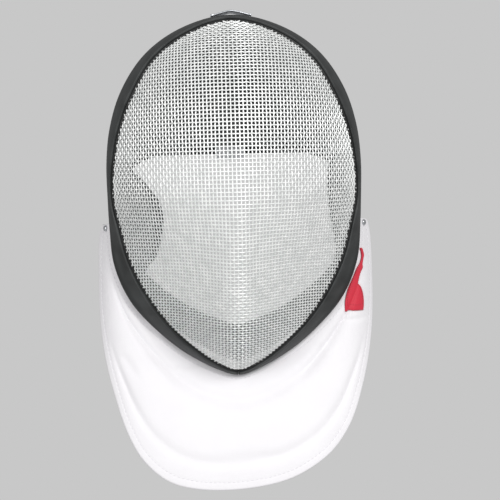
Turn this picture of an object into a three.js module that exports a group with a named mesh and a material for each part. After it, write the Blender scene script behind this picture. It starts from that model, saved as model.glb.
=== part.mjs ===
// Fencing mask: a creased bowl of woven wire, a wire crown, moulded trim and a padded bib.
// Millimetres, +Z up, the face looks along -Y and the wearer's left hand is on the +X side.
// Depths run back from the foremost point of the face mesh, heights from the top pad's seat.

import * as THREE from 'three';
import { mergeVertices } from 'three/addons/utils/BufferGeometryUtils.js';

// Driving dimensions
const HUB_HEIGHT = -130;        // height of the foremost point of the face mesh
const BACK_DEPTH = 236;         // depth of the crown's back
const CROWN_FULLNESS = 2.5;     // 2 is a plain ellipse, more is fuller at the shoulders
const SEAT_DEPTH = 140;         // depth of the spot where the top of the head rests
const SEAT_HEIGHT = -0.5;       // height of that spot in the tables below
const MESH_HALF = 1;            // half the thickness of two crossed wires
const MESH_STOP = 0.996;        // share of the rim's radius at which the face mesh stops
const FIT = 0.35;               // clearance between neighbouring pieces
const TRIM_FIT = 0.6;           // the trim's, on the curved edges of the mesh
const SPOKE_STEP = 6;           // degrees between the spokes that all the walls share
const TRIM_THICK = 2;
const TRIM_BACK = 9;            // width of the trim's flange on the crown
const TRIM_BACK_LOW = 4.5;      // the same below the ears, where the bib is sewn in
const BINDING_LEG = 6;
const BINDING_FIT = 1.15;       // its clearance, over the curve of the wire
const TAPE = 1.2;
const LINING_THICK = 5;
const LINING_START = 5;         // how far behind the rim the top pad starts
const LINING_REACH = 66;        // how far down either side the top pad goes, in degrees
const LINING_BACKSET = 8;       // how far the top pad stops short of the crown's back edge
const CHIN_PAD_LOW = 0.94;      // share of the rim's radius at which the chin pad's lower edge lies
const TONGUE_BOW = 1.2;         // how far the crown curves away under half the tongue's width
const BIB_THICK = 3;
const BIB_GAP = 0.9;            // clearance between the trim's back flange and the bib
const BIB_LEAN = -14;           // how far the middle of the bib's free edge hangs to the -X side
const BIB_LEAN_WIDTH = 0.18;    // the half width of that lean, as a share of the way to an ear
const BIB_TOP_ANGLE = 102;      // where the bib's upper corners meet the trim
const CROWN_END_ANGLE = 114;    // where the crown's ear flaps end
const STRAP_WIDTH = 20;
const STRAP_HEIGHT = -86;
const STRAP_THICK = 1.6;
const STRAP_REACH = 83;         // how far round the strap goes, in degrees each way
const STRAP_HUB_DEPTH = 105;    // depth of the upright line that the strap is swung round
const STRAP_OVER_BINDING = [62, 74];  // bearings between which the strap drops behind the binding
const STRAP_OVER_TONGUE = [9, 20];    // bearings between which it drops beside the tongue
const RIVET_RADIUS = 4;
const RIVET_THICK = 1.6;
const RIVET_INSET = 4;          // degrees from the strap's end to the rivet's middle
const STUD_RADIUS = 2.6;
const STUD_WAY = 0.975;         // the press studs' places on the bib
const STUD_SHARE = 0.4;
const TONGUE_WIDTH = 26;
const TONGUE_THICK = 1.2;
const SPRING_CLIMB = [26, 12];  // the spring climbs onto the binding between these ways from the edge
const SPRING_HOOK = [15, 165];  // the degrees that its hook turns through
const SPRING_REACH = 30;        // how far it runs back inside the crown
const TONGUE_PAD_ANGLE = 22;    // half the pad's width, in degrees round the hub
const TONGUE_PAD_HEIGHT = 52;
const TONGUE_PAD_THICK = 9;
const CLIP_ANGLE = 6;           // half the clip's width, in degrees round the hub
const CLIP_FRONT = 2;           // how far the clip comes over the face side of the trim
const CLIP_BACK = 17;
const CLIP_PEAK = 2.4;          // how far its ridge stands above the trim's curve
const CLIP_THICK = 1.2;
const LABEL_THICK = 0.8;
const LABEL_GAP = 0.75;         // its clearance, over the creases of the bib

// The rim, by angle in degrees from the top of the crown down to the chin. radius is from the hub to
// the middle of the mesh, depth is the rim's, swell and roll shape the bowl between hub and rim, trim
// is the width of the trim's flange on the face mesh, and edge is the share of the radius at which
// the crown mesh stops at the open back.
const RIM = [
  { angle: 0, radius: 143, depth: 78, swell: 2.5, roll: 0.65, trim: 12, edge: 0.261 },
  { angle: 15, radius: 139.8, depth: 79, swell: 2.6, roll: 0.68, trim: 16.5, edge: 0.275 },
  { angle: 30, radius: 133.6, depth: 82, swell: 2.7, roll: 0.72, trim: 19, edge: 0.322 },
  { angle: 45, radius: 123.8, depth: 87, swell: 2.7, roll: 0.78, trim: 21, edge: 0.425 },
  { angle: 60, radius: 113.6, depth: 91.5, swell: 2.6, roll: 0.78, trim: 18, edge: 0.65 },
  { angle: 75, radius: 105.8, depth: 96, swell: 2.6, roll: 0.7, trim: 15, edge: 0.885 },
  { angle: 90, radius: 102.2, depth: 99, swell: 2.6, roll: 0.66, trim: 12, edge: 0.94 },
  { angle: 105, radius: 105, depth: 101, swell: 2.4, roll: 0.9, trim: 17, edge: 0.962 },
  { angle: 120, radius: 113.8, depth: 103, swell: 2.05, roll: 1.2, trim: 20.5, edge: 0.985 },
  { angle: 135, radius: 122.2, depth: 105, swell: 1.8, roll: 1.3, trim: 20.5, edge: 0.99 },
  { angle: 150, radius: 129.3, depth: 108.5, swell: 1.7, roll: 1.05, trim: 17, edge: 0.99 },
  { angle: 165, radius: 139.4, depth: 112, swell: 1.7, roll: 0.85, trim: 14, edge: 0.99 },
  { angle: 173, radius: 145.5, depth: 112, swell: 1.75, roll: 0.8, trim: 10, edge: 0.99 },
  { angle: 180, radius: 150, depth: 112, swell: 1.75, roll: 0.8, trim: 6, edge: 0.99 },
];

// The ridge down the middle of the face: slope is how steeply the mesh falls away beside it, and
// crest is the half width of its rounded top.
const RIDGE = [
  { height: -290, slope: 0.62, crest: 2 },
  { height: -200, slope: 0.56, crest: 3 },
  { height: -130, slope: 0.43, crest: 6 },
  { height: -50, slope: 0.36, crest: 10 },
  { height: 16, slope: 0.2, crest: 14 },
];

// The bib's free edge, by the rim angle that each strip of cloth hangs from.
const BIB = [
  { angle: 102, x: 111.5, depth: 122, height: -155 },
  { angle: 106, x: 114.5, depth: 125, height: -164 },
  { angle: 112, x: 116, depth: 128, height: -184 },
  { angle: 124, x: 116.5, depth: 129, height: -226 },
  { angle: 136, x: 113.5, depth: 125, height: -262 },
  { angle: 148, x: 105, depth: 117, height: -297 },
  { angle: 158, x: 91, depth: 108, height: -329 },
  { angle: 165, x: 72, depth: 101, height: -353 },
  { angle: 172, x: 42, depth: 96, height: -371 },
  { angle: 180, x: 0, depth: 94, height: -379 },
];

// The label's left and right edges, by height.
const LABEL = [
  { height: -231.5, left: 90.8, right: 106.5 },
  { height: -225, left: 91.5, right: 107 },
  { height: -218, left: 92.8, right: 106.5 },
  { height: -212, left: 94.5, right: 105 },
  { height: -206, left: 97, right: 102.5 },
  { height: -200, left: 99.5, right: 104 },
  { height: -195, left: 101.5, right: 106 },
  { height: -191.5, left: 103.6, right: 105.8 },
  { height: -188, left: 104.8, right: 106.2 },
  { height: -184, left: 105.2, right: 106.8 },
  { height: -178, left: 103.8, right: 105.4 },
];

// Creases that run round the bib below the trim: share is the way down from trim to edge, drop is
// how far the cloth sinks in, width is the half width, and reach is how far round they go.
const CREASES = [
  { share: 0.25, drop: 2.6, width: 0.055, reach: 0.8 },
  { share: 0.77, drop: 2, width: 0.05, reach: 0.6 },
];
const BIB_SAG = 7;              // how far the middle of the bib bellies forward
const BIB_ROWS = [0, 0.07, 0.14, 0.2, 0.25, 0.3, 0.38, 0.48, 0.58, 0.67, 0.73, 0.77, 0.82, 0.91, 1];

// The padded flaps at the ears: how far each reaches in from the rim, by height.
const EAR_FLAPS = [
  { height: -196, left: 12, right: 4 },
  { height: -182, left: 25, right: 5 },
  { height: -165, left: 31, right: 7.5 },
  { height: -150, left: 33, right: 11 },
  { height: -135, left: 30, right: 13 },
  { height: -122, left: 21, right: 13.5 },
  { height: -108, left: 8, right: 13 },
  { height: -96, left: 3, right: 9 },
];
const FLAP_THICK = 4;
const FLAP_SEAM = 9;            // how far behind the rim the flaps are sewn on
const FLAP_BACKSET = 34;        // how far behind their seams the flaps' free edges stand
const FLAP_INSET = 0.4;
const FLAP_CURL = 1.4;          // 1 is a flat flap, more keeps it to the crown for longer

// The chin pad's upper edge, as a share of the rim's radius.
const CHIN_PAD = [
  { angle: 122, edge: 0.88 },
  { angle: 135, edge: 0.83 },
  { angle: 150, edge: 0.78 },
  { angle: 165, edge: 0.74 },
  { angle: 180, edge: 0.715 },
];

const DEG = Math.PI / 180;
const HEAD_CENTRE = new THREE.Vector3(0, 130, -120);

// Reads a column of a table between its rows along a smooth curve.
function along(rows, key, column, at, flatEnds = true) {
  const last = rows.length - 1;
  let i = 0;
  while (i < last - 1 && at > rows[i + 1][key]) i += 1;
  const slope = (k) => {
    if (flatEnds && (k === 0 || k === last)) return 0;
    const before = rows[Math.max(k - 1, 0)];
    const after = rows[Math.min(k + 1, last)];
    return (after[column] - before[column]) / (after[key] - before[key]);
  };
  const span = rows[i + 1][key] - rows[i][key];
  const s = THREE.MathUtils.clamp((at - rows[i][key]) / span, 0, 1);
  const a = rows[i][column];
  const b = rows[i + 1][column];
  const ease = s * s * (3 - 2 * s);
  const bend = s * (1 - s) * span;
  return a + (b - a) * ease + bend * ((1 - s) * slope(i) - s * slope(i + 1));
}

function rim(angle) {
  const from = Math.abs(angle);
  const read = (column) => along(RIM, 'angle', column, from);
  return {
    radius: read('radius'),
    depth: read('depth'),
    swell: read('swell'),
    roll: read('roll'),
    trim: read('trim'),
    edge: read('edge'),
  };
}

// How much deeper the mesh lies at x because it falls away from the ridge.
function ridgeFall(x, height) {
  const crest = along(RIDGE, 'height', 'crest', height);
  return along(RIDGE, 'height', 'slope', height) * (Math.hypot(x, crest) - crest);
}

// A point of the face mesh: share 0 is the hub and 1 the rim.
function facePoint(angle, share) {
  const r = rim(angle);
  const x = r.radius * Math.sin(angle * DEG);
  const drop = r.radius * Math.cos(angle * DEG);
  const bowl = r.depth - ridgeFall(x, HUB_HEIGHT + drop);
  const rise = 1 - Math.pow(1 - Math.pow(share, r.swell), r.roll);
  const height = HUB_HEIGHT + drop * share;
  return new THREE.Vector3(x * share, bowl * rise + ridgeFall(x * share, height), height);
}

// A point of the crown: turn 0 is the rim and 90 degrees the middle of the back. inset moves it
// towards the head.
function crownPoint(angle, turn, inset = 0) {
  const r = rim(angle);
  const share = Math.pow(Math.cos(turn * DEG), 2 / CROWN_FULLNESS);
  const back = Math.pow(Math.sin(turn * DEG), 2 / CROWN_FULLNESS);
  const radius = (r.radius - inset) * share;
  return new THREE.Vector3(
    radius * Math.sin(angle * DEG),
    r.depth + (BACK_DEPTH - inset - r.depth) * back,
    HUB_HEIGHT + radius * Math.cos(angle * DEG),
  );
}

// The turn at which the crown has come a given way back from the rim.
function turnAt(angle, distance) {
  const full = BACK_DEPTH - rim(angle).depth;
  return Math.asin(Math.pow(distance / full, CROWN_FULLNESS / 2)) / DEG;
}

// The turn at which the crown mesh stops.
function crownEnd(angle) {
  return Math.acos(Math.pow(rim(angle).edge, CROWN_FULLNESS / 2)) / DEG;
}

// A point of the crown's outside at a given x and height.
function crownAt(x, height, inset) {
  const angle = Math.atan2(x, height - HUB_HEIGHT) / DEG;
  const r = rim(angle);
  const share = Math.min(Math.hypot(x, height - HUB_HEIGHT) / (r.radius - inset), 1);
  const back = Math.pow(1 - Math.pow(share, CROWN_FULLNESS), 1 / CROWN_FULLNESS);
  return new THREE.Vector3(x, r.depth + (BACK_DEPTH - inset - r.depth) * back, height);
}

// The turn at which a spoke is a given way from the nearest part of the crown's back edge.
function crownInside(angle, distance) {
  const nearby = spread(angle - 30, angle + 30, 30).map((other) => crownPoint(other, crownEnd(other)));
  let turn = crownEnd(angle);
  const clearance = () => Math.min(...nearby.map((p) => crownPoint(angle, turn).distanceTo(p)));
  while (clearance() < distance) turn -= 0.2;
  return turn;
}

// A point of the crown's outside at a given height, on a bearing from straight back.
function crownOnBearing(bearing, height, inset) {
  const [across, back] = [Math.sin(bearing * DEG), Math.cos(bearing * DEG)];
  let [near, far] = [0, BACK_DEPTH];
  for (let i = 0; i < 40; i += 1) {
    const middle = (near + far) / 2;
    if (crownAt(across * middle, height, inset).y > STRAP_HUB_DEPTH + back * middle) near = middle;
    else far = middle;
  }
  return new THREE.Vector3(across * near, STRAP_HUB_DEPTH + back * near, height);
}

// The share of the rim's radius that lies a given way in from the rim along the face mesh.
function shareInside(angle, distance) {
  const end = facePoint(angle, 1);
  const step = 0.005;
  let share = 1;
  while (share > step && facePoint(angle, share).distanceTo(end) < distance) share -= step;
  return share;
}

// Makes one closed body from corners and triangles, facing out.
function solid(corners, triangles) {
  const geometry = new THREE.BufferGeometry();
  const flat = corners.flatMap((p) => [p.x, p.y, p.z]);
  geometry.setAttribute('position', new THREE.Float32BufferAttribute(flat, 3));
  geometry.setIndex(triangles.flat());
  const merged = mergeVertices(geometry, 1e-3);
  const position = merged.getAttribute('position');
  const corner = (i) => new THREE.Vector3().fromBufferAttribute(position, i);
  const index = merged.getIndex().array;
  const kept = [];
  let volume = 0;
  for (let i = 0; i < index.length; i += 3) {
    const [a, b, c] = [index[i], index[i + 1], index[i + 2]];
    if (a === b || b === c || c === a) continue;
    kept.push([a, b, c]);
    volume += corner(a).dot(corner(b).cross(corner(c)));
  }
  merged.setIndex(kept.flatMap(([a, b, c]) => (volume < 0 ? [a, c, b] : [a, b, c])));
  merged.computeVertexNormals();
  return merged;
}

// A sheet of points with normals that point away from the head. across and down list the two
// parameters, ring closes the sheet on itself, and pole says that the first row is one point.
function sheet(across, down, point, { ring = false, pole = false } = {}) {
  const points = across.map((u) => down.map((v) => point(u, v)));
  const count = across.length;
  const end = down.length - 1;
  const column = (i) => (ring ? points[(i + count) % count] : points[THREE.MathUtils.clamp(i, 0, count - 1)]);
  const normals = points.map((line, i) => line.map((p, j) => {
    const sideways = column(i + 1)[Math.max(j, pole ? 1 : 0)].clone();
    sideways.sub(column(i - 1)[Math.max(j, pole ? 1 : 0)]);
    const lengthways = line[Math.min(j + 1, end)].clone().sub(line[Math.max(j - 1, 0)]);
    return sideways.cross(lengthways).normalize();
  }));
  if (pole) {
    const sum = new THREE.Vector3();
    normals.forEach((line) => sum.add(line[1]));
    normals.forEach((line) => line[0].copy(sum).normalize());
  }
  const outward = (p, n) => p.clone().sub(HEAD_CENTRE).dot(n);
  const total = points.reduce((sum, line, i) => (
    sum + line.reduce((part, p, j) => part + outward(p, normals[i][j]), 0)), 0);
  if (total < 0) normals.flat().forEach((n) => n.negate());
  return { points, normals };
}

// A wall between two offsets of a sheet, measured along its normals.
function wall(across, down, point, low, high, { ring = false, pole = false } = {}) {
  const { points, normals } = sheet(across, down, point, { ring, pole });
  const rows = down.length;
  const columns = across.length;
  const faces = [low, high].map((offset) => points.flatMap((line, i) => (
    line.map((p, j) => p.clone().addScaledVector(normals[i][j], offset)))));
  const corners = faces.flat();
  const at = (i, j, side) => side * rows * columns + (i % columns) * rows + j;
  const triangles = [];
  const quad = (a, b, c, d) => triangles.push([a, b, c], [a, c, d]);
  const spans = ring ? columns : columns - 1;
  for (let i = 0; i < spans; i += 1) {
    for (let j = 0; j < rows - 1; j += 1) {
      quad(at(i, j, 1), at(i + 1, j, 1), at(i + 1, j + 1, 1), at(i, j + 1, 1));
      quad(at(i, j, 0), at(i, j + 1, 0), at(i + 1, j + 1, 0), at(i + 1, j, 0));
    }
    if (!pole) quad(at(i, 0, 0), at(i + 1, 0, 0), at(i + 1, 0, 1), at(i, 0, 1));
    quad(at(i, rows - 1, 1), at(i + 1, rows - 1, 1), at(i + 1, rows - 1, 0), at(i, rows - 1, 0));
  }
  if (!ring) {
    for (let j = 0; j < rows - 1; j += 1) {
      quad(at(0, j, 1), at(0, j + 1, 1), at(0, j + 1, 0), at(0, j, 0));
      const i = columns - 1;
      quad(at(i, j, 0), at(i, j + 1, 0), at(i, j + 1, 1), at(i, j, 1));
    }
  }
  return solid(corners, triangles);
}

// Sweeps a section through frames of an origin and two axes, and caps both ends.
function sweep(frames, section) {
  const size = section.length;
  const corners = frames.flatMap(({ origin, a, b }) => section.map(([along_a, along_b]) => (
    origin.clone().addScaledVector(a, along_a).addScaledVector(b, along_b))));
  const triangles = [];
  for (let i = 0; i < frames.length - 1; i += 1) {
    for (let k = 0; k < size; k += 1) {
      const next = (k + 1) % size;
      const [p, q] = [i * size + k, i * size + next];
      triangles.push([p, q, q + size], [p, q + size, p + size]);
    }
  }
  const outline = section.map(([x, y]) => new THREE.Vector2(x, y));
  const start = (frames.length - 1) * size;
  THREE.ShapeUtils.triangulateShape(outline, []).forEach(([p, q, r]) => {
    const turned = THREE.ShapeUtils.isClockWise(outline) ? [p, r, q] : [p, q, r];
    triangles.push([turned[0], turned[2], turned[1]]);
    triangles.push(turned.map((k) => start + k));
  });
  return solid(corners, triangles);
}

// Frames along the edge of a sheet: a points out past the edge and b along the normal.
function edgeFrames(across, edgePoint, insidePoint) {
  return across.map((u) => {
    const origin = edgePoint(u);
    const step = 0.5;
    const run = edgePoint(u + step).sub(edgePoint(u - step)).normalize();
    const inward = insidePoint(u).sub(origin);
    const b = new THREE.Vector3().crossVectors(run, inward).normalize();
    const a = new THREE.Vector3().crossVectors(run, b).normalize();
    return { origin, a, b };
  });
}

// A folded tape's section: two legs either side of an edge of the given half thickness.
function tapeSection(half, leg, fit) {
  const inner = half + fit;
  const outer = inner + TAPE;
  return [
    [-leg, outer], [FIT + TAPE * 0.6, outer], [FIT + TAPE, outer - TAPE * 0.6],
    [FIT + TAPE, TAPE * 0.6 - outer], [FIT + TAPE * 0.6, -outer], [-leg, -outer],
    [-leg, -inner], [FIT, -inner], [FIT, inner], [-leg, inner],
  ];
}

// Evenly spaced values from a first to a last one.
function spread(first, last, steps) {
  return Array.from({ length: steps + 1 }, (_, i) => first + ((last - first) * i) / steps);
}

// The spokes out to an angle either side of the top.
function spokesTo(angle) {
  return spread(-angle, angle, (2 * angle) / SPOKE_STEP);
}

function faceMesh() {
  const spokes = spokesTo(180).slice(0, -1);
  const rings = spread(0, 1, 9).map((s) => Math.sin(s * 90 * DEG) * MESH_STOP);
  return wall(spokes, rings, facePoint, -MESH_HALF, MESH_HALF, { ring: true, pole: true });
}

function crownMesh() {
  const spokes = spokesTo(CROWN_END_ANGLE);
  const point = (angle, share) => {
    const first = turnAt(angle, 1);
    return crownPoint(angle, first + (crownEnd(angle) - first) * share);
  };
  return wall(spokes, spread(0, 1, 9), point, -MESH_HALF, MESH_HALF);
}

// A point near the rim: place runs from -1, a distance in on the face mesh, to 1 on the crown.
function rimPoint(angle, place, front, back) {
  if (place > 0) return crownPoint(angle, turnAt(angle, back * place));
  return facePoint(angle, 1 + (1 - shareInside(angle, front)) * place);
}

// The trim folds over the rim, from the face mesh to the front edge of the crown.
function rimTrim() {
  const spokes = spokesTo(180).slice(0, -1);
  const low = MESH_HALF + TRIM_FIT;
  const point = (angle, place) => {
    const blend = THREE.MathUtils.smoothstep(Math.abs(angle), BIB_TOP_ANGLE - 12, BIB_TOP_ANGLE);
    const back = THREE.MathUtils.lerp(TRIM_BACK, TRIM_BACK_LOW, blend);
    return rimPoint(angle, place, rim(angle).trim, back);
  };
  const places = [-1, -0.75, -0.5, -0.25, 0, 0.35, 1];
  return wall(spokes, places, point, low, low + TRIM_THICK, { ring: true });
}

// The binding folds round the crown's back edge and the lower edges of its ear flaps.
function backBinding() {
  const edge = (angle) => crownPoint(angle, crownEnd(angle));
  const inside = (angle) => crownPoint(angle, crownEnd(angle) - 3);
  const frames = edgeFrames(spokesTo(CROWN_END_ANGLE), edge, inside);
  return sweep(frames, tapeSection(MESH_HALF, BINDING_LEG, BINDING_FIT));
}

// Padded cloth inside the crown, over the top of the head.
function crownLining() {
  const inset = MESH_HALF + FIT * 2;
  const point = (angle, share) => {
    const first = turnAt(angle, LINING_START);
    const last = crownInside(angle, LINING_BACKSET);
    return crownPoint(angle, first + (last - first) * share, inset);
  };
  return wall(spokesTo(LINING_REACH), spread(0, 1, 7), point, -LINING_THICK, 0);
}

// Padded cloth behind the lower face mesh, round the chin.
function chinPad() {
  const span = 180 - CHIN_PAD[0].angle;
  const point = (way, share) => {
    const angle = 180 - Math.abs(way);
    const side = way < 0 ? -1 : 1;
    const upper = along(CHIN_PAD, 'angle', 'edge', angle);
    const p = facePoint(angle, upper + (CHIN_PAD_LOW - upper) * share);
    p.x *= side;
    return p;
  };
  const low = MESH_HALF + FIT * 2;
  return wall(spread(-span, span, 22), spread(0, 1, 4), point, -low - LINING_THICK, -low);
}

// A padded flap beside an ear, sewn to the inside of the crown. side is -1 or 1.
function earFlap(side, column) {
  const [bottom, top] = [EAR_FLAPS[0].height, EAR_FLAPS[EAR_FLAPS.length - 1].height];
  const inset = MESH_HALF + FIT + FLAP_THICK / 2 + FLAP_INSET;
  const point = (height, share) => {
    const reach = along(EAR_FLAPS, 'height', column, height);
    const angle = outlineAngle(height);
    const p = crownPoint(angle, turnAt(angle, FLAP_SEAM + FLAP_BACKSET * share), inset);
    return new THREE.Vector3(side * (p.x - reach * Math.pow(share, FLAP_CURL)), p.y, height);
  };
  return wall(spread(bottom, top, 9), spread(0, 1, 5), point, -FLAP_THICK / 2, FLAP_THICK / 2);
}

// The rim angle at a given height, found by halving.
function outlineAngle(height) {
  let [low, high] = [0, 180];
  for (let i = 0; i < 30; i += 1) {
    const middle = (low + high) / 2;
    if (HUB_HEIGHT + rim(middle).radius * Math.cos(middle * DEG) > height) low = middle;
    else high = middle;
  }
  return low;
}

// A point of the bib. way runs from -1 at one ear to 1 at the other, share from trim to free edge.
function bibPoint(way, share) {
  const side = way < 0 ? -1 : 1;
  const angle = 180 - Math.abs(way) * (180 - BIB_TOP_ANGLE);
  const r = rim(angle);
  const radius = r.radius + MESH_HALF + FIT + BIB_THICK / 2;
  const top = new THREE.Vector3(
    radius * Math.sin(angle * DEG),
    r.depth + TRIM_BACK_LOW + BIB_THICK / 2 + BIB_GAP,
    HUB_HEIGHT + radius * Math.cos(angle * DEG),
  );
  const edge = new THREE.Vector3(
    along(BIB, 'angle', 'x', angle, false),
    along(BIB, 'angle', 'depth', angle),
    along(BIB, 'angle', 'height', angle),
  );
  const p = top.lerp(edge, share);
  p.y -= BIB_SAG * Math.sin(share * Math.PI) * (1 - way * way);
  CREASES.forEach((crease) => {
    const off = (share - crease.share) / crease.width;
    const fade = 1 - THREE.MathUtils.smoothstep(Math.abs(way), crease.reach * 0.6, crease.reach);
    p.y += crease.drop * Math.exp(-off * off) * fade;
  });
  p.x = p.x * side + BIB_LEAN * share * share * Math.exp(-((way / BIB_LEAN_WIDTH) ** 2));
  return p;
}

function bib() {
  return wall(spread(-1, 1, 34), BIB_ROWS, bibPoint, -BIB_THICK / 2, BIB_THICK / 2);
}

// The point of the bib at a given x and height on the +X side, found by a few corrections.
function bibAt(x, height) {
  const step = 1e-3;
  let [way, share] = [0.75, 0.3];
  for (let i = 0; i < 12; i += 1) {
    const p = bibPoint(way, share);
    const across = bibPoint(way + step, share).sub(p).divideScalar(step);
    const down = bibPoint(way, share + step).sub(p).divideScalar(step);
    const area = across.x * down.z - across.z * down.x;
    way += ((x - p.x) * down.z - (height - p.z) * down.x) / area;
    share += (across.x * (height - p.z) - across.z * (x - p.x)) / area;
  }
  return bibPoint(way, share);
}

// The label sewn to the bib beside the trim, on the +X side.
function labelPatch() {
  const low = BIB_THICK / 2 + LABEL_GAP;
  const [bottom, top] = [LABEL[0].height, LABEL[LABEL.length - 1].height];
  const point = (height, share) => {
    const left = along(LABEL, 'height', 'left', height, false);
    const right = along(LABEL, 'height', 'right', height, false);
    return bibAt(left + (right - left) * share, height);
  };
  return wall(spread(bottom, top, 12), spread(0, 1, 4), point, low, low + LABEL_THICK);
}

// How far the elastic strap stands off the crown: flat at its ends, then over the binding, then over
// the tongue.
function strapOffset(bearing) {
  const from = Math.abs(bearing);
  const overBinding = 1 - THREE.MathUtils.smoothstep(from, ...STRAP_OVER_BINDING);
  const overTongue = 1 - THREE.MathUtils.smoothstep(from, ...STRAP_OVER_TONGUE);
  const flat = MESH_HALF + FIT + STRAP_THICK / 2;
  return flat + (BINDING_FIT + TAPE) * overBinding + (TONGUE_THICK + FIT * 3) * overTongue;
}

function backStrap() {
  const point = (bearing, place) => (
    crownOnBearing(bearing, STRAP_HEIGHT + STRAP_WIDTH * place, -strapOffset(bearing)));
  const bearings = spread(-STRAP_REACH, STRAP_REACH, 32);
  return wall(bearings, [-0.5, -0.17, 0.17, 0.5], point, -STRAP_THICK / 2, STRAP_THICK / 2);
}

// A low round rivet head at a point, standing along a direction.
function rivet(at, direction, radius) {
  const geometry = new THREE.CylinderGeometry(radius * 0.8, radius, RIVET_THICK, 12);
  const turn = new THREE.Quaternion().setFromUnitVectors(new THREE.Vector3(0, 1, 0), direction);
  geometry.applyQuaternion(turn);
  geometry.translate(at.x, at.y, at.z);
  geometry.deleteAttribute('normal');
  geometry.deleteAttribute('uv');
  return mergeVertices(geometry, 1e-3);
}

function strapRivet(side) {
  const bearing = side * (STRAP_REACH - RIVET_INSET);
  const offset = strapOffset(bearing) + STRAP_THICK / 2 + FIT * 2 + RIVET_THICK / 2;
  const at = crownOnBearing(bearing, STRAP_HEIGHT, -offset);
  const inner = crownOnBearing(bearing, STRAP_HEIGHT, 0);
  const curve = (step) => crownOnBearing(bearing + step, STRAP_HEIGHT, 0);
  return rivet(at, normalFrom(inner, curve, side), RIVET_RADIUS);
}

// The level direction square to a curve at a point, on the given side.
function normalFrom(at, curve, side) {
  const run = curve(0.5).sub(at);
  const out = new THREE.Vector3(run.y, -run.x, 0).normalize();
  return out.x * side < 0 ? out.negate() : out;
}

// A press stud that holds an upper corner of the bib.
function bibStud(side) {
  const [way, share, step] = [STUD_WAY * side, STUD_SHARE, 0.01];
  const at = bibPoint(way, share);
  const across = bibPoint(way + step, share).sub(bibPoint(way - step, share));
  const down = bibPoint(way, share + step).sub(bibPoint(way, share - step));
  const out = across.cross(down).normalize();
  if (out.y > 0) out.negate();
  return rivet(at.addScaledVector(out, BIB_THICK / 2 + FIT + RIVET_THICK / 2), out, STUD_RADIUS);
}

// The tongue's spring runs back over the crown, hooks round its back edge and ends behind the pad.
function tongueSpring() {
  const end = crownEnd(0);
  const flat = MESH_HALF + FIT + TONGUE_THICK / 2;
  const overBinding = flat + BINDING_FIT + TAPE;
  const behindPad = MESH_HALF + FIT * 3 + LINING_THICK + TONGUE_BOW + TONGUE_THICK / 2;
  const climb = SPRING_CLIMB.map((distance) => crownInside(0, distance));
  const outside = spread(turnAt(0, TRIM_BACK + 2), end, 20).map((turn) => {
    const lift = THREE.MathUtils.smoothstep(turn, ...climb);
    return crownPoint(0, turn, -THREE.MathUtils.lerp(flat, overBinding, lift));
  });
  const edge = crownPoint(0, end);
  const out = crownPoint(0, end, -1).sub(edge).normalize();
  const on = new THREE.Vector3(0, out.z, -out.y);
  const bend = (overBinding + behindPad) / 2;
  const centre = edge.clone().addScaledVector(out, overBinding - bend);
  const hook = spread(...SPRING_HOOK, 8).map((angle) => centre.clone()
    .addScaledVector(out, bend * Math.cos(angle * DEG))
    .addScaledVector(on, bend * Math.sin(angle * DEG)));
  const innermost = crownInside(0, SPRING_REACH);
  const inside = spread(end, innermost, 6).map((turn) => crownPoint(0, turn, behindPad));
  const path = [...outside, ...hook, ...inside];
  const frames = path.map((origin, i) => {
    const run = path[Math.min(i + 1, path.length - 1)].clone().sub(path[Math.max(i - 1, 0)]);
    const b = new THREE.Vector3(0, run.z, -run.y).normalize();
    return { origin, a: new THREE.Vector3(1, 0, 0), b };
  });
  const [w, t] = [TONGUE_WIDTH / 2, TONGUE_THICK / 2];
  return sweep(frames, [[-w, -t], [w, -t], [w, t], [-w, t]]);
}

// The pad on the tongue, inside the back of the crown.
function tonguePad() {
  const inset = MESH_HALF + FIT * 4 + LINING_THICK + TONGUE_BOW + TONGUE_THICK;
  const point = (angle, share) => {
    const height = STRAP_HEIGHT - 2 + TONGUE_PAD_HEIGHT * share;
    return crownAt(Math.tan(angle * DEG) * TONGUE_PAD_HEIGHT * 2, height, inset);
  };
  const across = spread(-TONGUE_PAD_ANGLE, TONGUE_PAD_ANGLE, 8);
  return wall(across, spread(0, 1, 5), point, -TONGUE_PAD_THICK, 0);
}

// The roof-shaped plate over the top of the trim that holds the front of the tongue.
function tongueClip() {
  const low = MESH_HALF + TRIM_FIT + TRIM_THICK + FIT;
  const point = (angle, place) => {
    const p = rimPoint(angle, place, CLIP_FRONT, CLIP_BACK);
    p.z += CLIP_PEAK * (1 - Math.abs(angle) / CLIP_ANGLE);
    return p;
  };
  const places = [-1, -0.5, 0, 0.15, 0.4, 0.7, 1];
  return wall(spread(-CLIP_ANGLE, CLIP_ANGLE, 6), places, point, low, low + CLIP_THICK);
}

const material = (color, roughness, metalness = 0) => (
  new THREE.MeshStandardMaterial({ color, roughness, metalness }));

const mask = new THREE.Group();
mask.position.set(0, -SEAT_DEPTH, -SEAT_HEIGHT);

function add(name, geometry, finish) {
  const mesh = new THREE.Mesh(geometry, finish);
  mesh.name = name;
  mask.add(mesh);
}

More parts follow.
